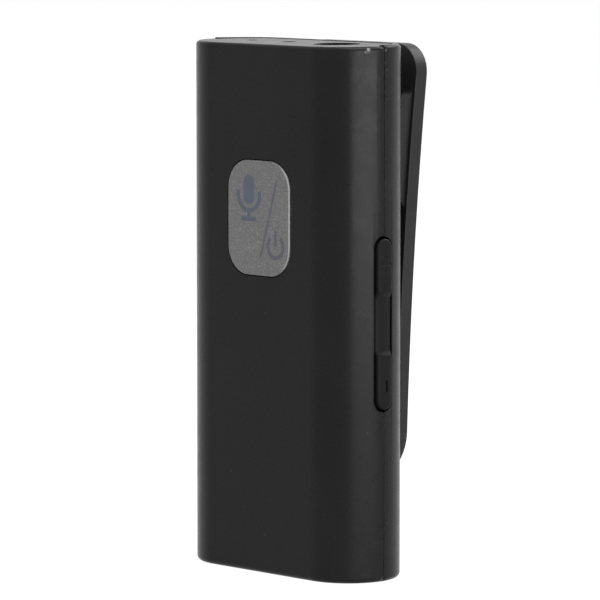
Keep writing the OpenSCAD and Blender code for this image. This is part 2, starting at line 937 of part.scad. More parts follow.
// Capacitors and resistors in two columns down the left of the rear face
module board_parts() {
    part_w = 1;
    part_h = 0.6;
    part_len = 1.6;
    part_step = 2.4;
    column_step = 1.7;
    column_gap = 0.5;
    first_x = -can_w / 2 - column_gap - part_w / 2;
    column_x = [first_x - column_step, first_x];
    color("#b59b6a")
    for (x = column_x, i = [0 : 7])
        box([x - part_w / 2, board_back_y + eps, can_z + i * part_step],
            [x + part_w / 2, board_back_y + part_h, can_z + i * part_step + part_len]);
}

module shield_can() {
    color("lightgray")
    difference() {
        box([-can_w / 2, board_back_y + eps, can_z], [can_w / 2, board_back_y + can_h, can_z + can_len]);
        box([-can_w / 2 + can_wall, board_back_y - 1, can_z + can_wall],
            [can_w / 2 - can_wall, board_back_y + can_h - can_wall, can_z + can_len - can_wall]);
    }
}

module audio_chip() {
    chip_w = 6;
    chip_t = 0.75;
    color("black")
    box([-chip_w / 2, board_back_y + eps, can_z + can_len / 2 - chip_w / 2],
        [chip_w / 2, board_back_y + chip_t, can_z + can_len / 2 + chip_w / 2]);
}

module chip_antenna() {
    antenna_w = 3.2;
    antenna_t = 1.2;
    antenna_len = 1.6;
    antenna_gap = 0.9;
    near_x = -port_w / 2 - antenna_gap;
    low_z = board_low_z + antenna_gap;
    color("white")
    box([near_x - antenna_w, board_back_y + eps, low_z],
        [near_x, board_back_y + antenna_t, low_z + antenna_len]);
}

// ---------- battery ----------

module battery_cell() {
    strip_inset = 0.6;
    mid_y = (cell_front_y + cell_back_y) / 2;
    color("#9aa0a6") {
        translate([0, mid_y, 0])
            slab_z(cell_z, cell_top_z - strip_len)
                round_rect(cell_w, cell_t, cell_corner_r);
        box([-cell_w / 2 + strip_inset, cell_front_y + strip_inset, cell_top_z - strip_len - eps],
            [cell_w / 2 - strip_inset, cell_back_y - strip_inset, cell_top_z]);
    }
}

module battery_pad() {
    pad_w = 12;
    pad_len = 20;
    low_z = cell_z + 3;
    color("khaki")
    box([-pad_w / 2, cell_back_y + eps, low_z], [pad_w / 2, back_inner_y - eps, low_z + pad_len]);
}

module battery_leads() {
    lead_y = (cell_front_y + cell_back_y) / 2;
    color("firebrick")
    for (x = lead_x) {
        rod_z(lead_r, cell_top_z + eps, cell_top_z + lead_rise, x, lead_y);
        translate([x, lead_y, cell_top_z + lead_rise])
            sphere(lead_r);
        rod_y(lead_r, board_back_y + eps, lead_y, x, cell_top_z + lead_rise);
    }
}

// ---------- headphone jack ----------

contact_rise = 1.4;
contact_step = 2.6;
contact_z = [for (i = [0 : 2]) jack_low_z + contact_rise + i * contact_step];
contact_w = 1;
contact_t = 0.25;
contact_end_gap = 1.1;

module jack_housing() {
    corner = 0.5;
    slot_start = 0.6;
    color("#1a1a1b")
    difference() {
        union() {
            translate([jack_x, 0, 0])
                slab_z(jack_low_z, jack_top_z)
                    round_rect(jack_w, jack_d, corner);
            rod_z(jack_nose_r, jack_top_z - eps, jack_mouth_z, jack_x, 0);
        }
        rod_z(jack_bore_r, jack_mouth_z - jack_bore_len, jack_mouth_z + 1, jack_x, 0);
        for (z = contact_z)
            box([jack_x - jack_w / 2 - 1, -jack_d / 2 + slot_start, z - contact_w / 2 - fit_gap],
                [jack_x - jack_w / 2 + contact_t + fit_gap, jack_d / 2 - contact_end_gap + loose_gap,
                    z + contact_w / 2 + fit_gap]);
    }
}

// Three contacts in slots down the jack's side, each with a foot on the board
module jack_contacts() {
    foot_len = 1.1;
    side_x = jack_x - jack_w / 2;
    color("gold")
    for (z = contact_z) {
        box([side_x, board_back_y + eps, z - contact_w / 2],
            [side_x + contact_t, jack_d / 2 - contact_end_gap, z + contact_w / 2]);
        box([side_x - foot_len, board_back_y + eps, z - contact_w / 2],
            [side_x + eps, board_back_y + contact_t, z + contact_w / 2]);
    }
}

// ---------- charging port ----------

tongue_w = 6.69;
tongue_t = 0.7;
tongue_len = 4.45;
base_len = 1.5;

module usb_shell() {
    color("silver")
    difference() {
        slab_z(port_recess, port_back)
            stadium(port_w, port_h);
        slab_z(port_recess - 1, port_back + 1)
            stadium(port_w - 2 * port_wall, port_h - 2 * port_wall);
    }
}

module usb_tongue() {
    color("#202022") {
        slab_z(port_back - base_len, port_back)
            stadium(port_w - 2 * port_wall - 2 * eps, port_h - 2 * port_wall - 2 * eps);
        box([-tongue_w / 2, -tongue_t / 2, port_back - base_len - tongue_len],
            [tongue_w / 2, tongue_t / 2, port_back - base_len + eps]);
    }
}

// ---------- microphone ----------

module mic_boot() {
    color("#3a3a3c")
    difference() {
        rod_z(boot_r, ceiling_z - boot_h, ceiling_z - eps, -mic_x, 0);
        rod_z(capsule_r + eps, ceiling_z - boot_h - 1, ceiling_z - boot_roof, -mic_x, 0);
        rod_z(boot_hole_r, ceiling_z - boot_h, ceiling_z + 1, -mic_x, 0);
    }
}

module mic_capsule() {
    sound_r = 0.5;
    sound_depth = 0.4;
    color("silver")
    difference() {
        rod_z(capsule_r, ceiling_z - boot_roof - capsule_h, ceiling_z - boot_roof - eps, -mic_x, 0);
        rod_z(sound_r, ceiling_z - boot_roof - sound_depth, ceiling_z, -mic_x, 0);
    }
}

module mic_mesh() {
    color("gray")
    rod_z(mesh_r, ceiling_z + eps, ceiling_z + mesh_t, -mic_x, 0);
}

module mic_leads() {
    lead_step = 0.9;
    foot_len = 1.2;
    color("silver")
    for (s = [-1, 1])
        rod_z(mic_lead_r, board_top_z - foot_len, ceiling_z - boot_roof - capsule_h - eps,
            -mic_x + s * lead_step, mic_lead_y);
}

// ---------- lamp ----------

lamp_w = 1.6;
lamp_t = 0.7;
lamp_h = 0.8;
lamp_drop = 0.2;

module lamp() {
    color("#e8e6d2")
    box([-lamp_x - lamp_w / 2, board_back_y + eps, board_top_z - lamp_drop - lamp_h],
        [-lamp_x + lamp_w / 2, board_back_y + lamp_t, board_top_z - lamp_drop]);
}

module light_pipe() {
    sink = 0.04;
    foot_w = 1.8;
    foot_z = board_top_z + 0.1;
    foot_h = 0.9;
    collar_r = pipe_r + 0.5;
    pipe_collar_h = 0.5;
    color("gainsboro") {
        rod_z(pipe_r, foot_z + foot_h / 2, top_z - sink, -lamp_x, 0);
        rod_z(collar_r, ceiling_z - pipe_collar_h, ceiling_z - eps, -lamp_x, 0);
        box([-lamp_x - foot_w / 2, board_back_y + eps, foot_z], [-lamp_x + foot_w / 2, pipe_r, foot_z + foot_h]);
    }
}

front_shell();
rear_shell();
mode_button();
mode_switch();
mode_switch_plunger();
volume_rocker();
volume_up_switch();
volume_down_switch();
volume_up_plunger();
volume_down_plunger();
clip_blade();
clip_pin();
clip_spring();
main_board();
board_screws();
board_parts();
shield_can();
audio_chip();
chip_antenna();
battery_cell();
battery_pad();
battery_leads();
jack_housing();
jack_contacts();
usb_shell();
usb_tongue();
mic_capsule();
mic_boot();
mic_mesh();
mic_leads();
lamp();
light_pipe();
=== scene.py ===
"""Clip-on wireless lavalier pack, dressed over its CAD frame. Metres; MM turns millimetres into them."""
import json
import math

import bmesh
import bpy
from mathutils import Matrix, Vector


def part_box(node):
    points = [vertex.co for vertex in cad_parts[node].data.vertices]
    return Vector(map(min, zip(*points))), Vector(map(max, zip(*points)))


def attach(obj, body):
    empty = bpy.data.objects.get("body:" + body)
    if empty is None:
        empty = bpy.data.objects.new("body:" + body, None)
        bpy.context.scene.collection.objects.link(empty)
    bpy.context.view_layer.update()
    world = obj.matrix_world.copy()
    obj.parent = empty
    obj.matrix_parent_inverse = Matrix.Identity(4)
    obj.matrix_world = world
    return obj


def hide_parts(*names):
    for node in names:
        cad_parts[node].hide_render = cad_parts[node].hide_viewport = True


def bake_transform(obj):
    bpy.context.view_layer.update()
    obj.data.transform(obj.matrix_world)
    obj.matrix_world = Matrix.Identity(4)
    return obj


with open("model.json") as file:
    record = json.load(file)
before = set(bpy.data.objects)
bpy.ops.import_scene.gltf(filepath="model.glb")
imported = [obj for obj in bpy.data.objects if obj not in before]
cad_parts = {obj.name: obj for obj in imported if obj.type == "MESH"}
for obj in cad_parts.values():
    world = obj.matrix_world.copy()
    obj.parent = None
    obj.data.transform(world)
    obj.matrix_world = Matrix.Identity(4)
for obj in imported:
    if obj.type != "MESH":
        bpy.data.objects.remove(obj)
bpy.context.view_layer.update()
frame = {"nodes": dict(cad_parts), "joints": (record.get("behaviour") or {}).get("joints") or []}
NODES = frame["nodes"]
MM = 0.001


# ---------- sizes taken from the frame, in millimetres ----------
def box_mm(node):
    low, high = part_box(node)
    return [v / MM for v in low], [v / MM for v in high]


def axis_mm(joint_name):
    """A point on a hinge's axis."""
    joint = next(j for j in frame["joints"] if j["name"] == joint_name)
    return [v / MM for v in joint["pos_m"]]


# the housing is a stadium in plan: its sides are arcs of radius END_R about X = END_X and -END_X
FRONT_LOW, FRONT_HIGH = box_mm("front_shell")
SIDE_X, _, BODY_H = box_mm("rear_shell")[1]
FRONT_TOP = FRONT_HIGH[2]
END_R = -FRONT_LOW[1]
END_X = SIDE_X - END_R
WALL, FIT_GAP = 1.2, 0.05

ROCKER_LOW, ROCKER_HIGH = box_mm("volume_rocker")
ROCKER_Z = (ROCKER_LOW[2] + ROCKER_HIGH[2]) / 2
ROCKER_HALF, ROCKER_R, ROCKER_GAP = 9.5, 1.1, 0.2
SLOT_HALF = ROCKER_R + ROCKER_GAP
TRUNNION_X = axis_mm("volume_tilt")[0]
HINGE_Y, HINGE_Z = axis_mm("clip_hinge")[1:]

# ---------- camera ----------
CAM_AZIMUTH = math.radians(47.01)
CAM_PITCH = math.radians(5.746)
CAM_PLACE = Vector((370.506, -344.973, 81.368)) * MM
CAM_LENS = 271.156
SENSOR = 36.0


def make_camera():
    data = bpy.data.cameras.new("camera")
    data.sensor_width = SENSOR
    data.lens = CAM_LENS
    data.clip_start, data.clip_end = 0.01, 20
    cam = link(bpy.data.objects.new("camera", data))
    sin_a, cos_a = math.sin(CAM_AZIMUTH), math.cos(CAM_AZIMUTH)
    sin_p, cos_p = math.sin(CAM_PITCH), math.cos(CAM_PITCH)
    ahead = Vector((-sin_a * cos_p, cos_a * cos_p, -sin_p))
    right = Vector((cos_a, sin_a, 0))
    up = right.cross(ahead)
    turn = Matrix((right, up, -ahead)).transposed().to_4x4()
    cam.matrix_world = Matrix.Translation(CAM_PLACE) @ turn
    bpy.context.scene.camera = cam


# ---------- node helpers ----------
NEAR_CORE = 0.3


class Tree:
    """A node tree with short calls: add a node, set its inputs, link its first output."""

    def __init__(self, tree):
        self.tree = tree
        self.object_coord = None

    def add(self, kind, props=None, **inputs):
        node = self.tree.nodes.new("ShaderNode" + kind)
        for key, value in (props or {}).items():
            setattr(node, key, value)
        for key, value in inputs.items():
            self.put(node, key, value)
        return node

    def put(self, node, key, value):
        """Sets or links an input: i0, i1 and so on by number, other keys by name, with _ for a space."""
        by_index = key[0] == "i" and key[1:].isdigit()
        socket = node.inputs[int(key[1:])] if by_index else node.inputs[key.replace("_", " ")]
        if isinstance(value, bpy.types.NodeSocket):
            self.tree.links.new(value, socket)
        elif isinstance(value, bpy.types.Node):
            self.tree.links.new(value.outputs[0], socket)
        else:
            socket.default_value = value

    def math(self, op, a, b=0.0, clamp=False):
        return self.add("Math", {"operation": op, "use_clamp": clamp}, i0=a, i1=b).outputs[0]

    def ramp(self, value, low, high, out_low=0.0, out_high=1.0):
        """A smooth step: out_low up to low, out_high from high on."""
        return self.add("MapRange", {"interpolation_type": "SMOOTHSTEP"}, Value=value, From_Min=low,
                        From_Max=high, To_Min=out_low, To_Max=out_high).outputs[0]

    def coord(self):
        if self.object_coord is None:
            self.object_coord = self.add("TexCoord").outputs["Object"]
        return self.object_coord

    def axis(self, name):
        return self.add("SeparateXYZ", Vector=self.coord()).outputs[name]

    def noise(self, scale, detail=2.0, rough=0.5, coord=None):
        where = self.coord() if coord is None else coord
        return self.add("TexNoise", Vector=where, Scale=scale, Detail=detail, Roughness=rough).outputs[0]

    def cells(self, scale):
        return self.add("TexVoronoi", Vector=self.coord(), Scale=scale)

    def edge(self):
        """The mesh's attribute edge: 1 where an edge is worn, and on the button's rim where a highlight is
        painted; 0 elsewhere.
        """
        return self.add("Attribute", {"attribute_name": "edge"}).outputs["Fac"]

    def near(self, place, radius):
        """1 round a place in millimetres, up to NEAR_CORE of the radius, and falling to 0 at the radius."""
        metres = tuple(v * MM for v in place)
        far = self.add("VectorMath", {"operation": "DISTANCE"}, i0=self.coord(), i1=metres)
        return self.ramp(far.outputs["Value"], radius * NEAR_CORE * MM, radius * MM, 1.0, 0.0)

    def mix(self, fac, a, b):
        node = self.add("Mix", {"data_type": "RGBA"}, i0=fac)
        for key, value in (("i6", a), ("i7", b)):
            if isinstance(value, tuple):
                value = (*value[:3], 1.0)
            self.put(node, key, value)
        return node.outputs[2]

    def surface(self, shader, base, rough, height, strength, depth):
        """Links the shader's base colour and roughness, and a bump of depth millimetres."""
        self.put(shader, "Base Color", base)
        self.put(shader, "Roughness", rough)
        self.put(shader, "Normal", self.add("Bump", Strength=strength, Distance=depth * MM, Height=height))


def grey(v, tint=0.0):
    return (v * (1 - tint), v, v * (1 + tint))


# ---------- kinds of material ----------
SPECK_GREY, WEAR_GREY, CHIP_GREY = 0.1, 0.07, 0.2
WEAR_POLISH = 0.08
BRUSH_SCALE, BRUSH_DEPTH = 1800.0, 0.004
TRACK_PITCH = 0.9


def material(name, build, **fixed):
    """A Principled material. build(t, shader) links its textures; fixed sets constant sockets."""
    m = bpy.data.materials.new(name)
    m.use_nodes = True
    shader = m.node_tree.nodes["Principled BSDF"]
    for key, value in fixed.items():
        shader.inputs[key.replace("_", " ")].default_value = value
    build(Tree(m.node_tree), shader)
    return m


def glittered(t, base, colour, tint, share):
    """Flakes in a paint, some paler than it and some darker."""
    flakes = t.add("SeparateColor", Color=t.cells(8000.0).outputs["Color"])
    pale = t.math("MULTIPLY", t.ramp(flakes.outputs[0], 0.55, 1.0), share)
    dark = t.math("MULTIPLY", t.ramp(flakes.outputs[1], 0.6, 1.0), share)
    return t.mix(dark, t.mix(pale, base, grey(colour * 2.2, tint)), grey(colour * 0.45, tint))


def specked(t, base, share):
    """Pale specks, in a few places only."""
    spot = t.ramp(t.cells(650.0).outputs["Distance"], 0.03, 0.07, 1.0, 0.0)
    pick = t.ramp(t.noise(330.0, 1.0), 0.64, 0.68)
    return t.mix(t.math("MULTIPLY", t.math("MULTIPLY", spot, pick), share), base, grey(SPECK_GREY))


def scuff_mask(t, wear, scuffs):
    """How far the plastic is scuffed: along the worn edges, and round each scuff's place."""
    torn = t.ramp(t.noise(1500.0, 5.0, 0.7), 0.46, 0.6)
    mask = t.math("MULTIPLY", t.edge(), wear)
    for *place, radius, strength in scuffs:
        mask = t.math("ADD", mask, t.math("MULTIPLY", t.near(place, radius), strength), True)
    return t.math("MULTIPLY", mask, torn)


def moulded(name, colour, rough, grain=5200.0, depth=0.012, mottle=0.14, spec=0.22, tint=0.01, wear=0.0,
            scuffs=(), chips=(), speck=0.0, glitter=0.0, rim=0.0):
    """Moulded plastic: spark-eroded grain, slow mottling of colour and gloss, scuffed edges, pale specks, and
    with rim a painted highlight: a paler grey on the edges the mesh marks.
    """

    def build(t, s):
        slow, fine, smear = t.noise(90.0, 3.0, 0.55), t.noise(grain, 2.0, 0.6), t.noise(420.0, 4.0, 0.6)
        pale, dark = grey(colour * (1 + mottle), tint), grey(colour * (1 - mottle), tint)
        base = t.mix(t.ramp(slow, 0.3, 0.7), dark, pale)
        base = t.mix(t.math("MULTIPLY", t.ramp(fine, 0.35, 0.75), 0.3), base, grey(colour * 1.5, tint))
        gloss = t.math("ADD", t.ramp(smear, 0.3, 0.7, rough - 0.03, rough + 0.03),
                       t.ramp(fine, 0.2, 0.8, -0.02, 0.02))
        if glitter > 0:
            base = glittered(t, base, colour, tint, glitter)
        # rim paints a highlight: the marked edges are mixed towards a paler grey, in place of a glint of
        # light
        if rim > 0:
            base = t.mix(t.edge(), base, grey(rim))
        if speck > 0:
            base = specked(t, base, speck)
        if wear > 0:
            mask = scuff_mask(t, wear, scuffs)
            base = t.mix(mask, base, grey(WEAR_GREY))
            gloss = t.math("SUBTRACT", gloss, t.math("MULTIPLY", mask, WEAR_POLISH))
        for *place, radius, strength in chips:
            base = t.mix(t.math("MULTIPLY", t.near(place, radius), strength), base, grey(CHIP_GREY))
        t.surface(s, base, gloss, t.math("ADD", fine, t.math("MULTIPLY", smear, 0.5)), 0.5, depth)

    return material(name, build, Specular_IOR_Level=spec)


def metal(name, colour, rough, stretch=(1, 1, 1), tarnish=0.25):
    """Metal: base colour clouded by tarnish, fine brushing stretched along an axis."""

    def build(t, s):
        along = t.add("Mapping", {"vector_type": "POINT"}, Vector=t.coord(), Scale=stretch)
        lines = t.noise(BRUSH_SCALE, 3.0, 0.6, along.outputs[0])
        cloud = t.noise(260.0, 4.0, 0.6)
        dark = tuple(c * (1 - tarnish) for c in colour)
        gloss = t.math("ADD", t.ramp(cloud, 0.3, 0.7, rough - 0.05, rough + 0.08),
                       t.ramp(lines, 0.3, 0.7, -0.04, 0.04))
        t.surface(s, t.mix(t.ramp(cloud, 0.35, 0.75), colour, dark), gloss, lines, 0.4, BRUSH_DEPTH)

    return material(name, build, Metallic=1.0)


def coated(name, colour, dark, rough, grain=900.0, depth=0.01, spec=0.4, **fixed):
    """A clouded surface between two colours, lifted by its grain: paint, foil, rubber, ceramic, tape."""

    def build(t, s):
        cloud = t.noise(grain * 0.3, 4.0, 0.6)
        fine = t.noise(grain * 4, 3.0, 0.6)
        both = t.math("ADD", t.math("MULTIPLY", cloud, 0.6), t.math("MULTIPLY", fine, 0.4))
        base = t.mix(t.ramp(both, 0.35, 0.65), dark, colour)
        gloss = t.ramp(cloud, 0.3, 0.7, rough - 0.05, rough + 0.05)
        t.surface(s, base, gloss, t.math("ADD", fine, cloud), 0.4, depth)

    return material(name, build, Specular_IOR_Level=spec, **fixed)


def board_material():
    """Green solder mask over copper tracks, with tinned pads in rows."""

    def build(t, s):
        pitch = TRACK_PITCH * MM
        snapped = t.add("VectorMath", {"operation": "SNAP"}, i0=t.coord(), i1=(pitch, pitch, pitch))
        cell = t.noise(900.0, 0.0, 0.5, snapped.outputs[0])
        x, z = (t.math("FRACT", t.math("MULTIPLY", t.axis(name), 1 / pitch)) for name in "XZ")
        run_x, run_z = (t.ramp(t.math("ABSOLUTE", t.math("SUBTRACT", across, 0.5)), 0.1, 0.16, 1.0, 0.0)
                        for across in (z, x))
        pick = t.ramp(cell, 0.48, 0.5)
        track = t.math("ADD", t.math("MULTIPLY", run_x, pick),
                       t.math("MULTIPLY", run_z, t.math("SUBTRACT", 1.0, pick)), True)
        dots = t.math("MULTIPLY", t.math("MULTIPLY", run_x, run_z), t.ramp(cell, 0.58, 0.6))
        mask = t.mix(t.math("MULTIPLY", track, 0.8), (0.008, 0.05, 0.022), (0.02, 0.105, 0.045))
        gloss = t.ramp(t.noise(700.0, 3.0), 0.3, 0.7, 0.24, 0.34)
        t.surface(s, t.mix(dots, mask, (0.62, 0.6, 0.55)), gloss, t.math("ADD", track, dots), 0.5, 0.02)

    return material("board_mask", build, Specular_IOR_Level=0.5)


# ---------- materials ----------
def top_corner(*marks):
    """Marks near the top right corner, from (in from the side, Y, down from the top, radius, strength)."""
    return [(SIDE_X - inset, y, BODY_H - down, *size) for inset, y, down, *size in marks]


SEAM_SCUFFS = top_corner((0.1, 0.2, 0.5, 0.3, 0.8), (0.08, 0.3, 1.2, 0.22, 0.6), (0.08, 0.15, 1.9, 0.3, 0.9),
                         (0.1, 0.35, 2.6, 0.2, 0.5), (0.08, 0.2, 3.3, 0.3, 0.7), (0.1, 0.4, 5.9, 0.2, 0.4),
                         (0.1, 0.3, 8.6, 0.16, 0.4), (0.1, 0.45, 13.3, 0.25, 0.3))
CORNER_SCUFFS = top_corner((0.42, -2.15, 0.5, 0.5, 0.5), (0.9, -3.0, 0.8, 0.4, 0.5),
                           (0.15, -1.0, 0.2, 0.4, 0.6))
CORNER_CHIPS = top_corner((0.4, -2.12, 0.36, 0.28, 1.0), (0.5, -2.45, 0.66, 0.22, 0.35))
M = {
    "front_shell": moulded("front_plastic", 0.0055, 0.285, spec=0.132, wear=0.35, scuffs=CORNER_SCUFFS,
                           chips=CORNER_CHIPS, speck=0.35),
    "rear_shell": moulded("rear_plastic", 0.006, 0.285, spec=0.138, wear=0.55, scuffs=SEAM_SCUFFS,
                          speck=0.35),
    "clip": moulded("clip_plastic", 0.011, 0.36, spec=0.2, wear=0.4, speck=0.3),
    "rocker": moulded("rocker_plastic", 0.005, 0.42, grain=4200.0, spec=0.08),
    # the button's rim carries a painted highlight: rim is the paler grey laid on its marked right edge
    "button": moulded("button_paint", 0.098, 0.33, grain=6000.0, depth=0.03, mottle=0.05, spec=0.52,
                      tint=-0.004, glitter=0.5, rim=0.26),
    "print": coated("print_blue_grey", (0.072, 0.087, 0.118), (0.057, 0.07, 0.096), 0.5, 1200.0, 0.006),
    "print_faint": coated("print_slate", (0.085, 0.083, 0.106), (0.068, 0.066, 0.088), 0.5, 1200.0, 0.006),
    "black_plastic": moulded("black_nylon", 0.012, 0.4, grain=4000.0, spec=0.35),
    "chip": moulded("chip_epoxy", 0.016, 0.5, grain=3800.0, spec=0.35),
    "switch_metal": metal("switch_steel", (0.55, 0.55, 0.56), 0.3, (1, 8, 1)),
    "pin_steel": metal("pin_steel_bright", (0.6, 0.6, 0.61), 0.22, (6, 1, 1)),
    "spring_steel": metal("spring_wire", (0.5, 0.5, 0.52), 0.26, (1, 6, 6)),
    "tin_plate": metal("tin_bright", (0.68, 0.68, 0.66), 0.28, (1, 1, 5)),
    "gold_plate": metal("gold_flash", (0.83, 0.62, 0.26), 0.22, (1, 1, 5), tarnish=0.15),
    "capsule_can": metal("capsule_aluminium", (0.7, 0.7, 0.71), 0.3, (1, 1, 7)),
    "mesh": metal("gauze_steel", (0.16, 0.16, 0.165), 0.36),
    "vent": metal("vent_shadow", (0.2, 0.2, 0.2), 0.4),
    "cell_foil": coated("pouch_foil", (0.5, 0.51, 0.53), (0.38, 0.39, 0.41), 0.32, 420.0, 0.05, 0.6,
                        Metallic=0.75),
    "tape": coated("amber_tape", (0.5, 0.26, 0.05), (0.38, 0.18, 0.03), 0.3, 500.0, 0.01, 0.5),
    "foam_pad": coated("foam_tape", (0.42, 0.4, 0.34), (0.3, 0.28, 0.24), 0.8, 1500.0, 0.06, 0.2),
    "lead_jacket": coated("lead_sleeve", (0.32, 0.02, 0.015), (0.22, 0.012, 0.01), 0.38),
    "ceramic": coated("chip_ceramic", (0.3, 0.21, 0.12), (0.21, 0.14, 0.08), 0.45, 1600.0, 0.008),
    "white_ceramic": coated("antenna_ceramic", (0.72, 0.71, 0.68), (0.6, 0.59, 0.56), 0.45, 1500.0, 0.008),
    "boot_rubber": coated("boot_silicone", (0.035, 0.035, 0.037), (0.022, 0.022, 0.024), 0.7, 1200.0,
                          0.02, 0.3),
    "lamp_body": coated("lamp_resin", (0.75, 0.72, 0.5), (0.62, 0.6, 0.4), 0.3, 800.0, 0.005, 0.5),
    "light_pipe": coated("pipe_acrylic", (0.55, 0.55, 0.54), (0.44, 0.44, 0.43), 0.3, 700.0, 0.008, 0.5,
                         Transmission_Weight=0.25),
    "board": board_material(),
}

# ---------- mesh helpers, in millimetres ----------
SHARP_ANGLE, FINE_ANGLE, ROUND_ANGLE = 35.0, 40.0, 50.0
FLAT_ANGLE = 0.3
TOP_NEAR = 0.01


def smooth(x, a, b):
    """0 up to a, 1 from b on, with a soft step between."""
    t = min(max((x - a) / (b - a), 0.0), 1.0)
    return t * t * (3 - 2 * t)


def link(obj):
    bpy.context.scene.collection.objects.link(obj)
    return obj


def finish_mesh(name, bm, mat, sharp=SHARP_ANGLE, weighted=True):
    """Turns a bmesh (in millimetres) into an object with sharp edges by angle and area-weighted normals."""
    bmesh.ops.scale(bm, vec=(MM, MM, MM), verts=bm.verts)
    me = bpy.data.meshes.new(name)
    bm.to_mesh(me)
    bm.free()
    me.materials.append(mat)
    for p in me.polygons:
        p.use_smooth = True
    me.set_sharp_from_angle(angle=math.radians(sharp))
    obj = link(bpy.data.objects.new(name, me))
    if weighted:
        mod = obj.modifiers.new("normals", "WEIGHTED_NORMAL")
        mod.keep_sharp = True
        mod.weight = 80
    return obj


def piece(name, bm, look, body="housing", node=None, sharp=SHARP_ANGLE, weighted=True):
    """A finished piece that rides on a body. It stands in for a CAD node where one is named."""
    obj = finish_mesh(name, bm, M[look], sharp, weighted)
    if node:
        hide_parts(node)
    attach(obj, body)


def node_bmesh(node):
    """The CAD node's mesh as a welded bmesh, with its flat faces joined up."""
    bm = bmesh.new()
    bm.from_mesh(NODES[node].data)
    bmesh.ops.scale(bm, vec=(1 / MM, 1 / MM, 1 / MM), verts=bm.verts)
    bmesh.ops.remove_doubles(bm, verts=bm.verts, dist=1e-4)
    bmesh.ops.dissolve_limit(bm, angle_limit=math.radians(FLAT_ANGLE), verts=bm.verts, edges=bm.edges)
    return bm


def islands(bm):
    """The vertices of each separate solid."""
    left, out = set(bm.verts), []
    while left:
        todo, part = [left.pop()], []
        while todo:
            v = todo.pop()
            part.append(v)
            for e in v.link_edges:
                w = e.other_vert(v)
                if w in left:
                    left.remove(w)
                    todo.append(w)
        out.append(part)
    return sorted(out, key=lambda p: tuple(round(min(v.co[k] for v in p), 3) for k in range(3)))


def solid_boxes(node):
    """The lowest and highest corner of each separate solid of a CAD node."""
    bm = node_bmesh(node)
    boxes = [[[pick(v.co[k] for v in part) for k in range(3)] for pick in (min, max)] for part in islands(bm)]
    bm.free()
    return boxes


def soften(bm, width, segments=2, where=None, wear=1.0, clamp=True):
    """Rounds the sharp edges whose middle where() accepts, and writes wear on the new faces."""
    picked = []
    for e in bm.edges:
        if len(e.link_faces) != 2 or e.calc_face_angle(0.0) < math.radians(SHARP_ANGLE):
            continue
        if where is None or where((e.verts[0].co + e.verts[1].co) / 2):
            picked.append(e)
    res = bmesh.ops.bevel(bm, geom=picked, offset=width, offset_type="OFFSET", segments=segments, profile=0.5,
                          affect="EDGES", clamp_overlap=clamp, loop_slide=clamp, harden_normals=False)
    layer = bm.loops.layers.float.get("edge") or bm.loops.layers.float.new("edge")
    for f in res["faces"]:
        for loop in f.loops:
            loop[layer] = wear


def skin(bm, rings):
    """Joins closed rings of points with quads, and closes the two ends."""
    loops = [[bm.verts.new(p) for p in ring] for ring in rings]
    n = len(loops[0])
    for a, b in zip(loops, loops[1:]):
        for i in range(n):
            j = (i + 1) % n
            bm.faces.new((a[i], a[j], b[j], b[i]))
    bm.faces.new(loops[0][::-1])
    bm.faces.new(loops[-1])


def tidy(bm):
    """Welds the points that meet, and turns the faces outwards."""
    bmesh.ops.remove_doubles(bm, verts=bm.verts, dist=1e-5)
    bmesh.ops.recalc_face_normals(bm, faces=bm.faces)
    return bm


def round_rect(w, h, r, n=12):
    """Points of a rectangle with round corners, anticlockwise, centred."""
    pts = []
    for cx, cy, start in ((w / 2 - r, h / 2 - r, 0), (-w / 2 + r, h / 2 - r, 90),
                          (-w / 2 + r, -h / 2 + r, 180), (w / 2 - r, -h / 2 + r, 270)):
        for i in range(n + 1):
            a = math.radians(start + 90 * i / n)
            pts.append((cx + r * math.cos(a), cy + r * math.sin(a)))
    return pts


def fillet(radius, steps):
    """(inset, drop) pairs round a quarter circle, from the flat face to the side."""
    angles = [math.radians(90 * i / steps) for i in range(steps + 1)]
    return [(radius * (1 - math.sin(a)), radius * (1 - math.cos(a))) for a in angles]


def arc(cx, cy, r, a0, a1, n):
    angles = [math.radians(a0 + (a1 - a0) * i / n) for i in range(n + 1)]
    return [(cx + r * math.cos(a), cy + r * math.sin(a)) for a in angles]


def stroke(path, width):
    """The outline of an open path drawn with a pen of that width."""
    left, right = [], []
    for i, p in enumerate(path):
        a = Vector(path[max(i - 1, 0)])
        b = Vector(path[min(i + 1, len(path) - 1)])
        d = (b - a).normalized()
        n = Vector((-d.y, d.x)) * (width / 2)
        left.append((p[0] + n.x, p[1] + n.y))
        right.append((p[0] - n.x, p[1] - n.y))
    return left + right[::-1]


def turned(bm, profile, centre, axis, n=48):
    """A solid of revolution about Y or Z: profile is (radius, height) pairs from one pole to the other."""
    frames = {"y": ((0, 0, 1), (1, 0, 0), (0, 1, 0)), "z": ((1, 0, 0), (0, 1, 0), (0, 0, 1))}
    ux, uy, uz = (Vector(v) for v in frames[axis])
    c = Vector(centre)
    angles = [2 * math.pi * i / n for i in range(n)]
    skin(bm, [[c + uz * h + (ux * math.cos(a) + uy * math.sin(a)) * r for a in angles] for r, h in profile])


def plate_y(bm, outline, y0, y1):
    """An outline in (x, z) made solid from y0 to y1."""
    skin(bm, [[Vector((x, y, z)) for x, z in outline] for y in (y0, y1)])


def box_mesh(bm, low, high, bevel, segments=2):
    """A box between two corners, with rounded edges."""
    res = bmesh.ops.create_cube(bm, size=1.0)
    size = [h - l for l, h in zip(low, high)]
    mid = [(h + l) / 2 for l, h in zip(low, high)]
    for v in res["verts"]:
        v.co = Vector([v.co[k] * size[k] + mid[k] for k in range(3)])
    edges = list(dict.fromkeys(e for v in res["verts"] for e in v.link_edges))
    bmesh.ops.bevel(bm, geom=edges, offset=bevel, offset_type="OFFSET", segments=segments, profile=0.5,
                    affect="EDGES", clamp_overlap=True)


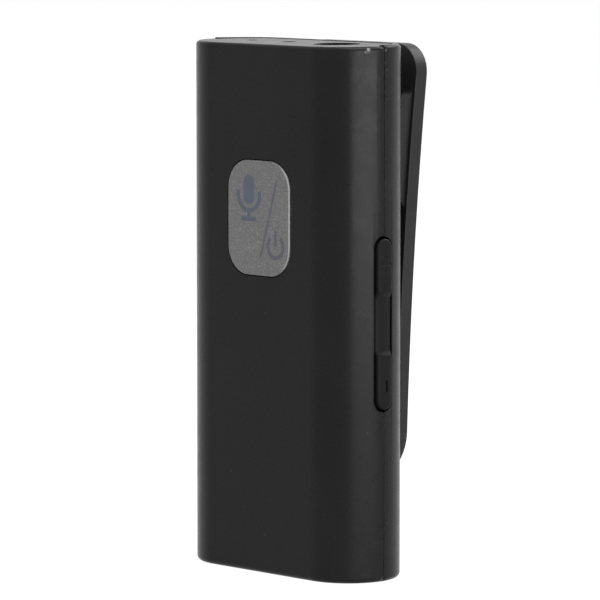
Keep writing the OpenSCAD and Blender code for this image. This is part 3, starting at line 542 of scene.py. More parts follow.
def softened(node, width, look, segments=2, body="housing", sink=0.0):
    """The CAD node with its edges rounded by width, and its top face lowered by sink."""
    bm = node_bmesh(node)
    top = max(v.co.z for v in bm.verts)
    for v in bm.verts:
        if v.co.z > top - TOP_NEAR:
            v.co.z -= sink
    soften(bm, width, segments)
    piece(node + "_fine", bm, look, body, node=node)


# ---------- housing ----------
EDGE_ROUND, SEAM_ROUND = 0.06, 0.025
# (radius, segments) of the rim of the rocker's slot, on each shell
SLOT_LIP = {"front_shell": (0.31, 5), "rear_shell": (0.07, 2)}
SLOT_DRAWN_IN = 0.08
# the rear shell's rim stands RIM_LIFT higher, and beyond RIM_END_FULL another RIM_END_LIFT
RIM_LIFT, RIM_END_LIFT = 0.035, 0.07
RIM_END_FROM, RIM_END_FULL = SIDE_X - 0.7, SIDE_X - 0.1
# the front shell's top is this much higher at the back than at the front
TOP_TILT = 0.08
# the seam is drawn in below SEAM_TOP, fully so below SEAM_FADE, and opens again below SEAM_LOW_FADE
SEAM_TOP, SEAM_FADE, SEAM_LOW_FADE, SEAM_LOW = 56.0, 44.0, 12.0, 8.0
SEAM_CUTS = (SEAM_LOW, SEAM_LOW_FADE, SEAM_FADE, 48.0, 52.0, SEAM_TOP)
SEAM_DRAWN_IN, SEAM_OPEN_LOW = 0.6, 0.55
SEAM_NEAR, SEAM_CLEAR = 0.08, 0.06
# how far from the ends, from the outer skin and from the slot's edge a point still counts as being on them
END_NEAR, SKIN_NEAR, SLOT_NEAR = 1.0, 0.35, 0.4
SLOT_FLOOR_X, SLOT_END, SLOT_LONG_END = SIDE_X - 0.9, ROCKER_HALF + 0.7, ROCKER_HALF + 0.25


def outside(p):
    """True for a point on or near the housing's outer skin."""
    if p.z < END_NEAR or p.z > BODY_H - END_NEAR:
        return True
    x = max(abs(p.x) - END_X, 0.0)
    return math.hypot(x, p.y) > END_R - SKIN_NEAR


def slot_rim(p):
    """True for a point on the outer rim of the rocker's slot, clear of the seam."""
    across = SEAM_CLEAR < abs(p.y) < SLOT_HALF + SLOT_NEAR
    return outside(p) and p.x > SLOT_FLOOR_X and across and abs(p.z - ROCKER_Z) < SLOT_END


def seam_rim(p):
    """True for a point on the outer edge of the seam down the sides."""
    return outside(p) and abs(p.y) < SEAM_NEAR and abs(p.x) > END_X


def plain_rim(p):
    return outside(p) and not slot_rim(p) and not seam_rim(p)


def shape_top(bm, node):
    """Lifts the rear shell's rim, and tilts the front shell's top."""
    for v in bm.verts:
        if node == "rear_shell" and v.co.z > BODY_H - TOP_NEAR:
            v.co.z += RIM_LIFT + RIM_END_LIFT * smooth(abs(v.co.x), RIM_END_FROM, RIM_END_FULL)
        elif node == "front_shell" and v.co.z > FRONT_TOP - TOP_NEAR:
            v.co.z += TOP_TILT * (v.co.y + END_R) / (2 * END_R)


def draw_seam_in(bm):
    """Closes the seam up between the housing's chipped top and its low end, as the photograph shows it."""
    for z in SEAM_CUTS:
        geom = bm.verts[:] + bm.edges[:] + bm.faces[:]
        bmesh.ops.bisect_plane(bm, geom=geom, plane_co=(0, 0, z), plane_no=(0, 0, 1), dist=1e-5)
    for v in bm.verts:
        if seam_rim(v.co):
            below_top = smooth(SEAM_TOP - v.co.z, 0.0, SEAM_TOP - SEAM_FADE)
            low_end = smooth(SEAM_LOW_FADE - v.co.z, 0.0, SEAM_LOW_FADE - SEAM_LOW)
            v.co.y *= 1 - SEAM_DRAWN_IN * below_top * (1 - SEAM_OPEN_LOW * low_end)


def draw_slot_in(bm):
    """Brings the long side of the rocker's slot closer to the key."""
    for v in bm.verts:
        if slot_rim(v.co) and abs(v.co.z - ROCKER_Z) < SLOT_LONG_END:
            v.co.y *= 1 - SLOT_DRAWN_IN / SLOT_HALF


def make_housing():
    for node in ("front_shell", "rear_shell"):
        bm = node_bmesh(node)
        shape_top(bm, node)
        draw_seam_in(bm)
        if node == "front_shell":
            draw_slot_in(bm)
        soften(bm, *SLOT_LIP[node], slot_rim, wear=0.0, clamp=False)
        soften(bm, SEAM_ROUND, 1, lambda p: seam_rim(p) and not slot_rim(p))
        soften(bm, EDGE_ROUND, 2, plain_rim)
        piece(node + "_skin", bm, node, node=node)


# ---------- mode button ----------
BUTTON_LOW, BUTTON_HIGH = box_mm("mode_button")
BUTTON_X, BUTTON_Y = -0.05, BUTTON_LOW[1]
BUTTON_Z = (BUTTON_LOW[2] + BUTTON_HIGH[2]) / 2
FLANGE, FLANGE_T, FLANGE_CHAMFER = 0.7, 0.6, 0.08
FLANGE_Y0 = -END_R + WALL + FIT_GAP
FLANGE_Y1 = FLANGE_Y0 + FLANGE_T
BUTTON_NARROWER, BUTTON_TALLER = 0.14, 0.08
BUTTON_W = BUTTON_HIGH[0] - BUTTON_LOW[0] - 2 * FLANGE - BUTTON_NARROWER
BUTTON_H = BUTTON_HIGH[2] - BUTTON_LOW[2] - 2 * FLANGE + BUTTON_TALLER
BUTTON_R, BUTTON_ROUND, FACE_RING = 3.2, 0.2, 1.2
# the painted highlight on the rim, in from the button's right side: where it starts, and from where it is
# full
HIGHLIGHT_FROM, HIGHLIGHT_FULL = 1.7, 0.5
NUB_R, NUB_CHAMFER = 1.6, 0.15
PRINT_DEPTH, PRINT_PROUD, PRINT_SUNK = 0.03, 0.008, 0.001
# the signs, with heights from the button's middle
MIC_X, MIC_W, MIC_H, MIC_Z = -1.55, 1.75, 3.3, 3.15
CUP_R, CUP_Z, CUP_TOP, MIC_PEN = 1.75, 2.55, 3.0, 0.5
LEG_TOP, LEG_END, FOOT_Z, FOOT_HALF = 0.9, -0.05, -0.15, 1.25
SLANT, SLANT_PEN = [(3.05, 4.4), (0.35, -4.4)], 0.3
POWER_X, POWER_Z, POWER_R, POWER_OPEN = 2.8, -3.05, 1.24, 38
POWER_BAR, POWER_PEN, POWER_BAR_PEN = (-3.0, -1.25), 0.46, 0.42


def paint_rim_highlight(bm):
    """Marks the button's rounded rim on the side towards the rocker for a painted highlight: a paler colour
    there stands in for the side light's glint.
    """
    layer = bm.loops.layers.float.new("edge")
    right = BUTTON_X + BUTTON_W / 2
    for f in bm.faces:
        c = f.calc_center_median()
        if BUTTON_Y + 0.02 < c.y < BUTTON_Y + BUTTON_ROUND:
            for loop in f.loops:
                loop[layer] = smooth(c.x, right - HIGHLIGHT_FROM, right - HIGHLIGHT_FULL)


def make_button():
    bm = bmesh.new()
    steps = [(FACE_RING, BUTTON_Y)] + [(inset, BUTTON_Y + drop) for inset, drop in fillet(BUTTON_ROUND, 6)]
    steps += [(0, FLANGE_Y0 - 0.1), (0, FLANGE_Y0), (-FLANGE + FLANGE_CHAMFER, FLANGE_Y0),
              (-FLANGE, FLANGE_Y0 + FLANGE_CHAMFER), (-FLANGE, FLANGE_Y1 - FLANGE_CHAMFER),
              (-FLANGE + FLANGE_CHAMFER, FLANGE_Y1)]
    rings = []
    for inset, y in steps:
        outline = round_rect(BUTTON_W - 2 * inset, BUTTON_H - 2 * inset, BUTTON_R - inset)
        rings.append([Vector((BUTTON_X + x, y, BUTTON_Z + z)) for x, z in outline])
    skin(bm, rings)
    # the rim on the rocker's side gets a painted highlight
    paint_rim_highlight(bm)
    turned(bm, [(NUB_R, FLANGE_Y1 - 0.2), (NUB_R, BUTTON_HIGH[1] - NUB_CHAMFER),
                (NUB_R - NUB_CHAMFER, BUTTON_HIGH[1])], (0, 0, BUTTON_Z), "y")
    piece("mode_key_cap", tidy(bm), "button", "mode_key", node="mode_button")


def print_sign(name, look, outlines, sunk=()):
    """A sign printed on the button, from outlines in (x, height). Those numbered in sunk cross another one,
    and lie a little lower than it."""
    bm = bmesh.new()
    for i, outline in enumerate(outlines):
        y0 = BUTTON_Y - PRINT_PROUD + (PRINT_SUNK if i in sunk else 0.0)
        plate_y(bm, [(x, BUTTON_Z + z) for x, z in outline], y0, BUTTON_Y + PRINT_DEPTH)
    piece(name, tidy(bm), look, "mode_key", weighted=False)


def make_button_signs():
    """Generic signs: a microphone, a slanted stroke and the power sign."""
    mic = [(MIC_X + x, MIC_Z + z) for x, z in round_rect(MIC_W, MIC_H, MIC_W / 2 - 0.001, 10)]
    cup = [(MIC_X - CUP_R, CUP_TOP)] + arc(MIC_X, CUP_Z, CUP_R, 180, 360, 28) + [(MIC_X + CUP_R, CUP_TOP)]
    leg = [(MIC_X, LEG_TOP), (MIC_X, LEG_END)]
    foot = [(MIC_X - FOOT_HALF, FOOT_Z), (MIC_X + FOOT_HALF, FOOT_Z)]
    lines = [stroke(path, MIC_PEN) for path in (cup, leg, foot)]
    print_sign("mode_key_microphone_sign", "print", [mic] + lines, sunk=(2,))
    print_sign("mode_key_stroke", "print_faint", [stroke(SLANT, SLANT_PEN)])
    ring = arc(POWER_X, POWER_Z, POWER_R, 90 + POWER_OPEN, 450 - POWER_OPEN, 40)
    bar = [(POWER_X, z) for z in POWER_BAR]
    print_sign("mode_key_power_sign", "print_faint", [stroke(ring, POWER_PEN), stroke(bar, POWER_BAR_PEN)])


# ---------- volume rocker ----------
PAD_PROUD, WAIST_DEPTH, WAIST_HALF, WAIST_WIDER = 0.25, 0.1, 2.9, 0.1
SHOULDER, SHOULDER_SOFT = 0.65, 0.1
KEY_ROUND, KEY_ROOT_X = 0.28, 12.35
# places and half sizes (across, along) of the carved bars, from the key's middle
PLUS_AT, PLUS_BARS, PLUS_DEPTH = (0.15, 6.65), ((0.15, 0.94), (0.75, 0.15)), 0.1
MINUS_AT, MINUS_BAR, MINUS_DEPTH = (0.15, -6.87), (0.12, 0.64), 0.26
BAR_SOFT, BAR_NEAR, SHOULDER_NEAR = 0.05, 1.15, (0.5, 0.4)
SIGN_STEP, SHOULDER_STEP, PLAIN_STEP, END_STEPS = 0.05, 0.09, 0.3, 14
KEY_FLANGE_R, KEY_FLANGE_T, KEY_FLANGE_W, KEY_FLANGE_LEN = 4.25, 0.6, 3.8, 20.4
TRUNNION_R, TRUNNION_CHAMFER = 0.5, 0.08


def bar_mask(y, u, place, bar):
    """1 within a bar of the given place and half size, 0 outside."""
    past = [abs(v - at) - half for v, at, half in zip((y, u), place, bar)]
    return (1 - smooth(past[0], -BAR_SOFT, BAR_SOFT)) * (1 - smooth(past[1], -BAR_SOFT, BAR_SOFT))


def pad_share(u):
    """0 in the waist, 1 on the two pads, at u along the key."""
    return smooth(abs(u), WAIST_HALF - SHOULDER_SOFT, WAIST_HALF + SHOULDER + SHOULDER_SOFT)


def rocker_half(u):
    """Half the key's width at u along it: the waist is wider than the two pads."""
    if abs(u) > ROCKER_HALF - ROCKER_R:
        return math.sqrt(max(ROCKER_R ** 2 - (abs(u) - ROCKER_HALF + ROCKER_R) ** 2, 1e-8))
    return ROCKER_R + WAIST_WIDER * (1 - pad_share(u))


def rocker_face(y, u):
    """Height X of the key's face at y, u along the key."""
    d = rocker_half(u) - abs(y)
    if abs(u) > ROCKER_HALF - ROCKER_R:
        d = ROCKER_R - math.hypot(y, abs(u) - ROCKER_HALF + ROCKER_R)
    lift = -WAIST_DEPTH + (PAD_PROUD + WAIST_DEPTH) * pad_share(u)
    x = END_X + math.sqrt((END_R + lift) ** 2 - y * y)
    if d < KEY_ROUND:
        k = KEY_ROUND - max(d, 0.0)
        x -= KEY_ROUND - math.sqrt(max(KEY_ROUND ** 2 - k * k, 0.0))
    plus = max(bar_mask(y, u, PLUS_AT, bar) for bar in PLUS_BARS)
    return x - PLUS_DEPTH * plus - MINUS_DEPTH * bar_mask(y, u, MINUS_AT, MINUS_BAR)


def rocker_stations():
    """Places along the key for its rows of points: closer at the signs, the shoulders and the ends."""
    flat = ROCKER_HALF - ROCKER_R
    us, u = {0.0}, 0.0
    while u < flat:
        near_shoulder = WAIST_HALF - SHOULDER_NEAR[0] < u < WAIST_HALF + SHOULDER + SHOULDER_NEAR[1]
        near_sign = any(abs(u - abs(at[1])) < BAR_NEAR for at in (PLUS_AT, MINUS_AT))
        u += SIGN_STEP if near_sign else SHOULDER_STEP if near_shoulder else PLAIN_STEP
        us.add(min(round(u, 4), flat))
    us |= {flat + ROCKER_R * math.sin(math.radians(90 * i / END_STEPS)) for i in range(1, END_STEPS + 1)}
    return sorted(us | {-v for v in us})


def rocker_key(bm):
    """The key from its carved face to its root behind the wall."""
    evenly = [-1 + 2 * i / 40 for i in range(41)]
    vs = [math.copysign(1 - (1 - abs(v)) ** 1.25, v) for v in evenly]
    grid = [[bm.verts.new((rocker_face(v * rocker_half(u), u), v * rocker_half(u), ROCKER_Z + u)) for v in vs]
            for u in rocker_stations()]
    for a, b in zip(grid, grid[1:]):
        for i in range(len(vs) - 1):
            bm.faces.new((a[i], a[i + 1], b[i + 1], b[i]))
    rim = grid[0] + [row[-1] for row in grid[1:-1]] + grid[-1][::-1] + [row[0] for row in grid[-2:0:-1]]
    root = [bm.verts.new((KEY_ROOT_X, v.co.y, v.co.z)) for v in rim]
    for i in range(len(rim)):
        j = (i + 1) % len(rim)
        bm.faces.new((rim[i], root[i], root[j], rim[j]))
    bm.faces.new(root)
    bmesh.ops.remove_doubles(bm, verts=bm.verts, dist=2e-4)


def rocker_flange(bm):
    """The curved flange behind the wall."""
    section = []
    for r, way in ((KEY_FLANGE_R, 1), (KEY_FLANGE_R - KEY_FLANGE_T, -1)):
        reach = math.asin(KEY_FLANGE_W / 2 / r)
        for i in range(13):
            a = reach * way * (-1 + i / 6)
            section.append((END_X + r * math.cos(a), r * math.sin(a)))
    ends = (ROCKER_Z - KEY_FLANGE_LEN / 2, ROCKER_Z + KEY_FLANGE_LEN / 2)
    skin(bm, [[Vector((x, y, z)) for x, y in section] for z in ends])


def make_rocker():
    bm = bmesh.new()
    rocker_key(bm)
    rocker_flange(bm)
    y0, y1 = ROCKER_LOW[1], ROCKER_HIGH[1]
    r, k = TRUNNION_R, TRUNNION_CHAMFER
    turned(bm, [(r - k, y0), (r, y0 + k), (r, y1 - k), (r - k, y1)], (TRUNNION_X, 0, ROCKER_Z), "y", 32)
    bmesh.ops.recalc_face_normals(bm, faces=bm.faces)
    piece("volume_key", bm, "rocker", "volume_key", node="volume_rocker", sharp=ROUND_ANGLE, weighted=False)


# ---------- clip and its spring ----------
EAR_X, EAR_LOW, EAR_HIGH, EAR_BACK = 9.7, 40.0, 54.5, 8.7
BLADE_ROUND, BLADE_WEAR, EAR_ROUND = 0.08, 0.2, 0.04
WIRE_R, WIRE_SIDES, COIL_R, COIL_TURNS, COIL_HALF = 0.22, 12, 0.9417, 6, 3.25
LEG, LEG_STEPS, COIL_STEP = 6.0, 8, 15
WIRE_NECK, WIRE_STEP = 0.75, 0.06


def blade_rim(p):
    """True for a point on the blade's outer edges, clear of the hinge ears."""
    return abs(p.x) > EAR_X or p.y > EAR_BACK or not EAR_LOW < p.z < EAR_HIGH


def make_clip():
    bm = node_bmesh("clip_blade")
    bmesh.ops.remove_doubles(bm, verts=bm.verts, dist=0.03)
    soften(bm, BLADE_ROUND, 2, blade_rim, wear=BLADE_WEAR, clamp=False)
    soften(bm, EAR_ROUND, 1, lambda p: not blade_rim(p), wear=0.0)
    piece("clip_arm", bm, "clip", "clip", node="clip_blade")


def spring_path():
    """(angle round the hinge, X, distance along a leg) of the wire, from one leg's end to the other's."""
    leg_top = box_mm("clip_spring")[1][1]
    lean = math.degrees(math.asin((leg_top - HINGE_Y - COIL_R - WIRE_R) / LEG))
    sweep = 360 * COIL_TURNS + 180 - lean
    steps = round(sweep / COIL_STEP)
    path = [(180.0, -COIL_HALF, -LEG * (1 - i / LEG_STEPS)) for i in range(LEG_STEPS)]
    path += [(180 + sweep * i / steps, -COIL_HALF + 2 * COIL_HALF * i / steps, 0.0) for i in range(steps + 1)]
    path += [(180 + sweep, COIL_HALF, LEG * i / LEG_STEPS) for i in range(1, LEG_STEPS + 1)]
    return [(math.radians(a), x, t) for a, x, t in path]


def neck_and_step(ring, end, beside):
    """Two rings from one near the wire's end: one drawn in towards the end's centre, one moved back."""
    away = (end - beside).normalized()
    return [end + (p - end) * WIRE_NECK for p in ring], [p - away * WIRE_STEP for p in ring]


def make_spring():
    path = spring_path()
    centres = [Vector((x, HINGE_Y + COIL_R * math.cos(a) - t * math.sin(a),
                       HINGE_Z + COIL_R * math.sin(a) + t * math.cos(a))) for a, x, t in path]
    last = len(centres) - 1
    turns = [2 * math.pi * k / WIRE_SIDES for k in range(WIRE_SIDES)]
    rings = []
    for i, (c, (a, _, _)) in enumerate(zip(centres, path)):
        along = (centres[min(i + 1, last)] - centres[max(i - 1, 0)]).normalized()
        out = Vector((0, math.cos(a), math.sin(a)))
        out = (out - along * out.dot(along)).normalized()
        side = along.cross(out)
        rings.append([c + (out * math.cos(b) + side * math.sin(b)) * WIRE_R for b in turns])
    # the first end is chamfered; one point before the last end the wire narrows and steps out again
    rings[:1] = neck_and_step(rings[0], centres[0], centres[1])
    rings[-2:-1] = neck_and_step(rings[-2], centres[last], centres[last - 1])
    bm = bmesh.new()
    skin(bm, rings)
    obj = finish_mesh("clip_return_spring", tidy(bm), M["spring_steel"], ROUND_ANGLE, False)
    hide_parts("clip_spring")
    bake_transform(obj)


# ---------- sockets ----------
# turn round the jack's bore, and depth below its mouth, of each leaf spring
LEAVES = ((90, 3.4), (210, 6.4), (330, 9.4))
LEAF_HALF, LEAF_HALF_W, LEAF_SEAT_R, LEAF_FACE_R, LEAF_BULGE = 1.3, 0.4, 1.95, 1.79, 0.3
USB_PINS, USB_PITCH, USB_PIN_HALF, USB_PIN_Y, USB_PIN_ENDS = 12, 0.5, 0.13, (0.33, 0.365), (0.45, 1.6)


def make_jack():
    softened("jack_housing", 0.12, "black_plastic")
    low, high = box_mm("jack_housing")
    jack_x, mouth = (low[0] + high[0]) / 2, high[2]
    # spring leaves that bulge a little into the bore
    bm = bmesh.new()
    for turn, depth in LEAVES:
        a = math.radians(turn)
        out, side = Vector((math.cos(a), math.sin(a), 0)), Vector((-math.sin(a), math.cos(a), 0))
        rings = []
        for i in range(9):
            z = -LEAF_HALF + 2 * LEAF_HALF * i / 8
            face_r = LEAF_FACE_R - LEAF_BULGE * math.cos(math.pi * z / (2 * LEAF_HALF)) ** 2
            c = Vector((jack_x, 0, mouth - depth + z))
            rings.append([c + out * r + side * s * LEAF_HALF_W
                          for r, s in ((face_r, -1), (face_r, 1), (LEAF_SEAT_R, 1), (LEAF_SEAT_R, -1))])
        skin(bm, rings)
    piece("jack_leaf_springs", tidy(bm), "gold_plate", sharp=FINE_ANGLE)
    softened("jack_contacts", 0.04, "gold_plate")


def make_usb():
    softened("usb_shell", 0.09, "tin_plate")
    softened("usb_tongue", 0.08, "black_plastic")
    low, high = box_mm("usb_tongue")
    bm = bmesh.new()
    z0, z1 = low[2] + USB_PIN_ENDS[0], high[2] - USB_PIN_ENDS[1]
    for side in (-1, 1):
        y0, y1 = sorted(side * y for y in USB_PIN_Y)
        for i in range(USB_PINS):
            x = (i - (USB_PINS - 1) / 2) * USB_PITCH
            box_mesh(bm, (x - USB_PIN_HALF, y0, z0), (x + USB_PIN_HALF, y1, z1), 0.015, 1)
    piece("usb_contacts", bm, "gold_plate")


# ---------- microphone, its gauze and the light guide ----------
GAUZE_RIM, GAUZE_LAP, GAUZE_WIRE_R, GAUZE_STEP, GAUZE_WEAVE = 0.16, 0.08, 0.028, 0.14, 0.024
LIGHT_PIPE_SUNK = 0.12


def gauze_wire(i, layer, reach, centre):
    """Rings of one wire of the weave, number i of its layer, which runs along X (layer 0) or Y (layer 1)."""
    n = max(int(2 * reach / GAUZE_STEP), 2) * 2
    rings = []
    for k in range(n + 1):
        along = -reach + 2 * reach * k / n
        weave = GAUZE_WEAVE * math.cos(math.pi * (along / GAUZE_STEP + i + layer))
        ring = []
        for q in range(6):
            a = math.pi * q / 3
            across, up = i * GAUZE_STEP + GAUZE_WIRE_R * math.cos(a), weave + GAUZE_WIRE_R * math.sin(a)
            ring.append(centre + Vector((along, across, up) if layer == 0 else (across, along, up)))
        rings.append(ring)
    return rings


def make_gauze():
    """Woven mesh: a rim ring and two layers of crossing wires."""
    low, high = box_mm("mic_mesh")
    x, r, z0, z1 = (low[0] + high[0]) / 2, (high[0] - low[0]) / 2, low[2], high[2]
    bm = bmesh.new()
    inner = r - GAUZE_RIM
    turned(bm, [(inner, z0), (r, z0), (r, z1), (inner, z1), (inner, z0)], (x, 0, 0), "z", 48)
    for f in [f for f in bm.faces if len(f.verts) > 4]:
        bm.faces.remove(f)
    bmesh.ops.remove_doubles(bm, verts=bm.verts, dist=1e-5)
    count = int((r - 0.1) / GAUZE_STEP)
    for layer in (0, 1):
        for i in range(-count, count + 1):
            reach = math.sqrt(max((r - GAUZE_LAP) ** 2 - (i * GAUZE_STEP) ** 2, 0.0))
            if reach >= GAUZE_STEP:
                skin(bm, gauze_wire(i, layer, reach, Vector((x, 0, (z0 + z1) / 2))))
    bmesh.ops.recalc_face_normals(bm, faces=bm.faces)
    piece("mic_gauze", bm, "mesh", node="mic_mesh", sharp=ROUND_ANGLE, weighted=False)


def make_top_parts():
    softened("light_pipe", 0.05, "light_pipe", sink=LIGHT_PIPE_SUNK)
    softened("mic_boot", 0.1, "boot_rubber")
    softened("mic_capsule", 0.12, "capsule_can")
    softened("lamp", 0.06, "lamp_body")
    make_gauze()
    softened("mic_leads", 0.06, "tin_plate")


# ---------- circuit board ----------
VENTS_X, VENTS_Z, VENT_R, VENT_IN_X, VENT_IN_Z = 7, 8, 0.3, 2.1, 2.0
MARK_W, MARK_ROOT_W = 0.06, 0.1
PART_CAP, PART_CAP_LAP, PART_CAP_PROUD = 0.36, 0.06, 0.03
CHIP_LEADS, CHIP_LEAD_PITCH, CHIP_LEAD_REACH, CHIP_LEAD_HALF, CHIP_LEAD_T = 10, 0.5, 0.35, 0.11, 0.12
CHIP_LEAD_FROM, CHIP_LEAD_ROOT, CHIP_LIFT, CHIP_MARK_R, CHIP_MARK_IN = 0.75, 0.02, 0.05, 0.34, 0.8
ANTENNA_CAP, ANTENNA_CAP_LAP, ANTENNA_CAP_PROUD = 0.4, 0.1, 0.02
BANDS, BAND_FROM, BAND_PITCH, BAND_HALF, BAND_IN, BAND_ROOT = 4, 0.85, 0.5, 0.09, 0.25, 0.03
HEAD_MIN_R = 1.0
HEAD_RINGS, HEAD_SPOKES, HEAD_FACE, HEAD_DOME = 15, 48, 0.94, 0.16
HEAD_SIDE, HEAD_CHAMFER, HEAD_FOOT = 0.24, 0.05, 0.95
RECESS_DEPTH, RECESS_HALF_W, RECESS_REACH = 0.35, 0.1, 0.52
THREAD_PITCH, THREAD_CORE, THREAD_TIP, THREAD_FROM, RIDGE = 0.3, 0.82, 0.5, 0.2, (0.12, 0.18)


def make_switches():
    for node in ("mode_switch", "volume_up_switch", "volume_down_switch"):
        softened(node, 0.08, "switch_metal")
    softened("mode_switch_plunger", 0.08, "black_plastic", body="mode_key")
    softened("volume_up_plunger", 0.06, "black_plastic", body="volume_up_pin")
    softened("volume_down_plunger", 0.06, "black_plastic", body="volume_down_pin")


def rim_mark(bm, place, r, sunk, proud, n):
    """A thin round rim on a face that looks to +Y at place: proud of it, and rooted below it."""
    x, y, z = place
    y0, y1 = y - sunk, y + proud
    inner = r - MARK_W
    turned(bm, [(inner, y0), (r, y0), (r, y1), (inner, y1), (r - MARK_ROOT_W, y0)], (x, 0, z), "y", n)


def make_shield_can_vents():
    low, high = box_mm("shield_can")
    bm = bmesh.new()
    for i in range(VENTS_X):
        for k in range(VENTS_Z):
            x = low[0] + VENT_IN_X + i * (high[0] - low[0] - 2 * VENT_IN_X) / (VENTS_X - 1)
            z = low[2] + VENT_IN_Z + k * (high[2] - low[2] - 2 * VENT_IN_Z) / (VENTS_Z - 1)
            rim_mark(bm, (x, high[1], z), VENT_R, 0.02, 0.012, 12)
    piece("shield_can_vents", tidy(bm), "vent")


def make_board_parts():
    """Ceramic chips with tinned ends."""
    bm, ends = bmesh.new(), bmesh.new()
    inset, k = PART_CAP - PART_CAP_LAP, PART_CAP_PROUD
    for lo, hi in solid_boxes("board_parts"):
        box_mesh(bm, (lo[0] + k, lo[1], lo[2] + inset), (hi[0] - k, hi[1] - k, hi[2] - inset), 0.04)
        for z0, z1 in ((lo[2], lo[2] + PART_CAP), (hi[2] - PART_CAP, hi[2])):
            box_mesh(ends, (lo[0], lo[1], z0), (hi[0], hi[1], z1), 0.07)
    piece("board_chip_bodies", bm, "ceramic", node="board_parts")
    piece("board_chip_ends", ends, "tin_plate")


def make_audio_chip():
    """A moulded package with a mark at pin 1 and leads down both sides."""
    low, high = box_mm("audio_chip")
    bm = bmesh.new()
    box_mesh(bm, (low[0], low[1] + CHIP_LIFT, low[2]), high, 0.07)
    rim_mark(bm, (low[0] + CHIP_MARK_IN, high[1], high[2] - CHIP_MARK_IN), CHIP_MARK_R, 0.01, 0.004, 20)
    piece("audio_chip_package", tidy(bm), "chip", node="audio_chip")
    bm = bmesh.new()
    y0, y1 = low[1], low[1] + CHIP_LEAD_T
    for x0, x1 in ((low[0] - CHIP_LEAD_REACH, low[0] + CHIP_LEAD_ROOT),
                   (high[0] - CHIP_LEAD_ROOT, high[0] + CHIP_LEAD_REACH)):
        for i in range(CHIP_LEADS):
            z = low[2] + CHIP_LEAD_FROM + i * CHIP_LEAD_PITCH
            box_mesh(bm, (x0, y0, z - CHIP_LEAD_HALF), (x1, y1, z + CHIP_LEAD_HALF), 0.03, 1)
    piece("audio_chip_leads", bm, "tin_plate")


def make_antenna():
    """A ceramic block with tinned ends and four tinned bands."""
    low, high = box_mm("chip_antenna")
    bm, ends = bmesh.new(), bmesh.new()
    inset, k = ANTENNA_CAP - ANTENNA_CAP_LAP, ANTENNA_CAP_PROUD
    box_mesh(bm, (low[0] + inset, low[1], low[2] + k), (high[0] - inset, high[1] - k, high[2] - k), 0.05)
    for x0, x1 in ((low[0], low[0] + ANTENNA_CAP), (high[0] - ANTENNA_CAP, high[0])):
        box_mesh(ends, (x0, low[1], low[2]), (x1, high[1], high[2]), 0.06)
    z0, z1 = low[2] + BAND_IN, high[2] - BAND_IN
    for i in range(BANDS):
        x = low[0] + BAND_FROM + i * BAND_PITCH
        box_mesh(ends, (x - BAND_HALF, high[1] - BAND_ROOT, z0), (x + BAND_HALF, high[1], z1), 0.01, 1)
    piece("antenna_body", bm, "white_ceramic", node="chip_antenna")
    piece("antenna_ends", ends, "tin_plate")


def recess(x, z):
    """1 in the arms of a screw head's cross recess, 0 outside, at x, z from its middle."""
    arms = [(1 - smooth(abs(a), RECESS_HALF_W, RECESS_HALF_W + 0.05))
            * (1 - smooth(abs(b), RECESS_REACH, RECESS_REACH + 0.1)) for a, b in ((x, z), (z, x))]
    return max(arms)


def screw_head(bm, x, z, r, y0, y1):
    """A pan head with a cross recess, as one grid on a disc: the recess is pressed into its face."""
    spokes = [(math.cos(2 * math.pi * k / HEAD_SPOKES), math.sin(2 * math.pi * k / HEAD_SPOKES))
              for k in range(HEAD_SPOKES)]
    rings = []
    for i in range(HEAD_RINGS + 1):
        f = i / HEAD_RINGS
        ring = []
        for c, s in spokes:
            px, pz = r * HEAD_FACE * f * c, r * HEAD_FACE * f * s
            ring.append(Vector((x + px, y1 - HEAD_DOME * f * f - RECESS_DEPTH * recess(px, pz), z + pz)))
        rings.append(ring)
    # the middle ring is opened a little, so that it isn't a single point
    rings[0] = [p + Vector((c, 0, s)) * 0.004 for p, (c, s) in zip(rings[0], spokes)]
    for share, y in ((1.0, y1 - HEAD_SIDE), (1.0, y0 + HEAD_CHAMFER), (HEAD_FOOT, y0)):
        rings.append([Vector((x + r * share * c, y, z + r * share * s)) for c, s in spokes])
    skin(bm, rings)


def screw_thread(bm, x, z, r, y0, y1):
    """A shank with plain ridges for its thread."""
    core = r * THREAD_CORE
    profile = [(r * THREAD_TIP, y0)]
    for i in range(int((y1 - y0 - THREAD_PITCH) / THREAD_PITCH)):
        base = y0 + THREAD_FROM + i * THREAD_PITCH
        profile += [(core, base)] + [(r, base + up) for up in RIDGE]
    turned(bm, profile + [(core, y1 - 0.08), (core, y1)], (x, 0, z), "y", 28)


def make_board_screws():
    """Domed heads with a cross recess, over plain threads."""
    solids = [((lo[0] + hi[0]) / 2, (lo[2] + hi[2]) / 2, (hi[0] - lo[0]) / 2, lo[1], hi[1])
              for lo, hi in solid_boxes("board_screws")]
    bm = bmesh.new()
    for screw in solids:
        if screw[2] > HEAD_MIN_R:
            screw_head(bm, *screw)
    for screw in solids:
        if screw[2] <= HEAD_MIN_R:
            screw_thread(bm, *screw)
    bmesh.ops.recalc_face_normals(bm, faces=bm.faces)
    piece("board_screw_set", bm, "pin_steel", node="board_screws", sharp=FINE_ANGLE)


def make_board():
    softened("main_board", 0.05, "board")
    softened("shield_can", 0.14, "tin_plate", 3)
    make_switches()
    make_shield_can_vents()
    make_board_parts()
    make_audio_chip()
    make_antenna()
    make_board_screws()


# ---------- battery ----------
STRIP_LEN, STRIP_END = 4.4, 2.55


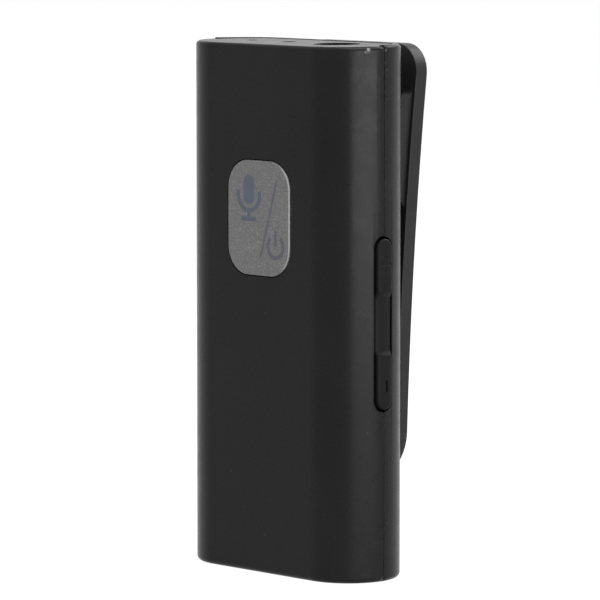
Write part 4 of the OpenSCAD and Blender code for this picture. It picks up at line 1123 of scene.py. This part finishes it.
def make_battery():
    low, high = box_mm("battery_cell")
    softened("battery_cell", 0.25, "cell_foil", 3)
    softened("battery_pad", 0.05, "foam_pad")
    softened("battery_leads", 0.03, "lead_jacket")
    # polyimide tape across the front, and over the protection strip at the pouch's end
    bm = bmesh.new()
    box_mesh(bm, (low[0] + 0.8, low[1] - 0.025, high[2] - STRIP_LEN),
             (high[0] - 0.8, low[1] + 0.03, high[2] - STRIP_END), 0.02, 1)
    box_mesh(bm, (low[0] + 1.0, low[1] + 0.55, high[2] - 2.5),
             (high[0] - 1.0, high[1] - 0.55, high[2] + 0.02), 0.1)
    piece("battery_tape", bm, "tape")


# ---------- studio ----------
WORLD_FILL, FLOOR_GREY, FLOOR_HALF = 0.4, 0.8, 4000.0
# the floor as the camera sees it: a faint shade on a glow
SEEN_GREY, SEEN_GLOW = 0.16, 0.93
AIM = (0, 0, 0.03)
# name, place and size in metres, radiance
LAMPS = (("side_light", (0.4475, -0.047, 0.032), (0.5, 0.06), 11.4),
         ("front_light", (-0.22, -0.5, 0.5), (0.5, 0.4), 0.95),
         ("top_light", (0.22, -0.02, 0.6), (0.5, 0.5), 5.0),
         ("back_light", (0.1, 0.5, 0.5), (0.5, 0.35), 3.6))


def seen_ray(t):
    """1 for camera, glossy and transmission rays."""
    path = t.add("LightPath")
    gloss = t.math("MAXIMUM", path.outputs["Is Glossy Ray"], path.outputs["Is Transmission Ray"])
    return t.math("MAXIMUM", path.outputs["Is Camera Ray"], gloss)


def make_world():
    world = bpy.data.worlds.new("studio")
    bpy.context.scene.world = world
    world.use_nodes = True
    t = Tree(world.node_tree)
    out = next(n for n in world.node_tree.nodes if n.type == "OUTPUT_WORLD")
    fill = t.add("Background", Color=(1, 1, 1, 1), Strength=WORLD_FILL)
    white = t.add("Background", Color=(1, 1, 1, 1), Strength=1.0)
    t.put(out, "Surface", t.add("MixShader", i0=seen_ray(t), i1=fill, i2=white))


def make_floor():
    bm = bmesh.new()
    bmesh.ops.create_grid(bm, x_segments=1, y_segments=1, size=FLOOR_HALF)
    m = bpy.data.materials.new("floor_white")
    m.use_nodes = True
    t = Tree(m.node_tree)
    m.node_tree.nodes.remove(m.node_tree.nodes["Principled BSDF"])
    out = next(n for n in m.node_tree.nodes if n.type == "OUTPUT_MATERIAL")
    plain = t.add("BsdfDiffuse", Color=(*grey(FLOOR_GREY), 1))
    faint = t.add("BsdfDiffuse", Color=(*grey(SEEN_GREY), 1))
    glow = t.add("Emission", Color=(1, 1, 1, 1), Strength=SEEN_GLOW)
    both = t.add("AddShader", i0=faint, i1=glow)
    t.put(out, "Surface", t.add("MixShader", i0=seen_ray(t), i1=plain, i2=both))
    finish_mesh("floor", bm, m, weighted=False)


def softbox(name, place, size, radiance):
    """A rectangular lamp that looks at AIM and isn't seen itself."""
    data = bpy.data.lights.new(name, "AREA")
    data.shape = "RECTANGLE"
    data.size, data.size_y = size
    data.energy = radiance * math.pi * size[0] * size[1]
    lamp = link(bpy.data.objects.new(name, data))
    lamp.location = place
    lamp.rotation_euler = (Vector(AIM) - Vector(place)).to_track_quat("-Z", "Y").to_euler()
    lamp.visible_camera = False


make_camera()
make_world()
make_floor()
for lamp in LAMPS:
    softbox(*lamp)
make_housing()
make_button()
make_button_signs()
make_rocker()
make_clip()
make_spring()
softened("clip_pin", 0.12, "pin_steel")
make_jack()
make_usb()
make_top_parts()
make_board()
make_battery()

bpy.context.scene.view_settings.view_transform = "Standard"
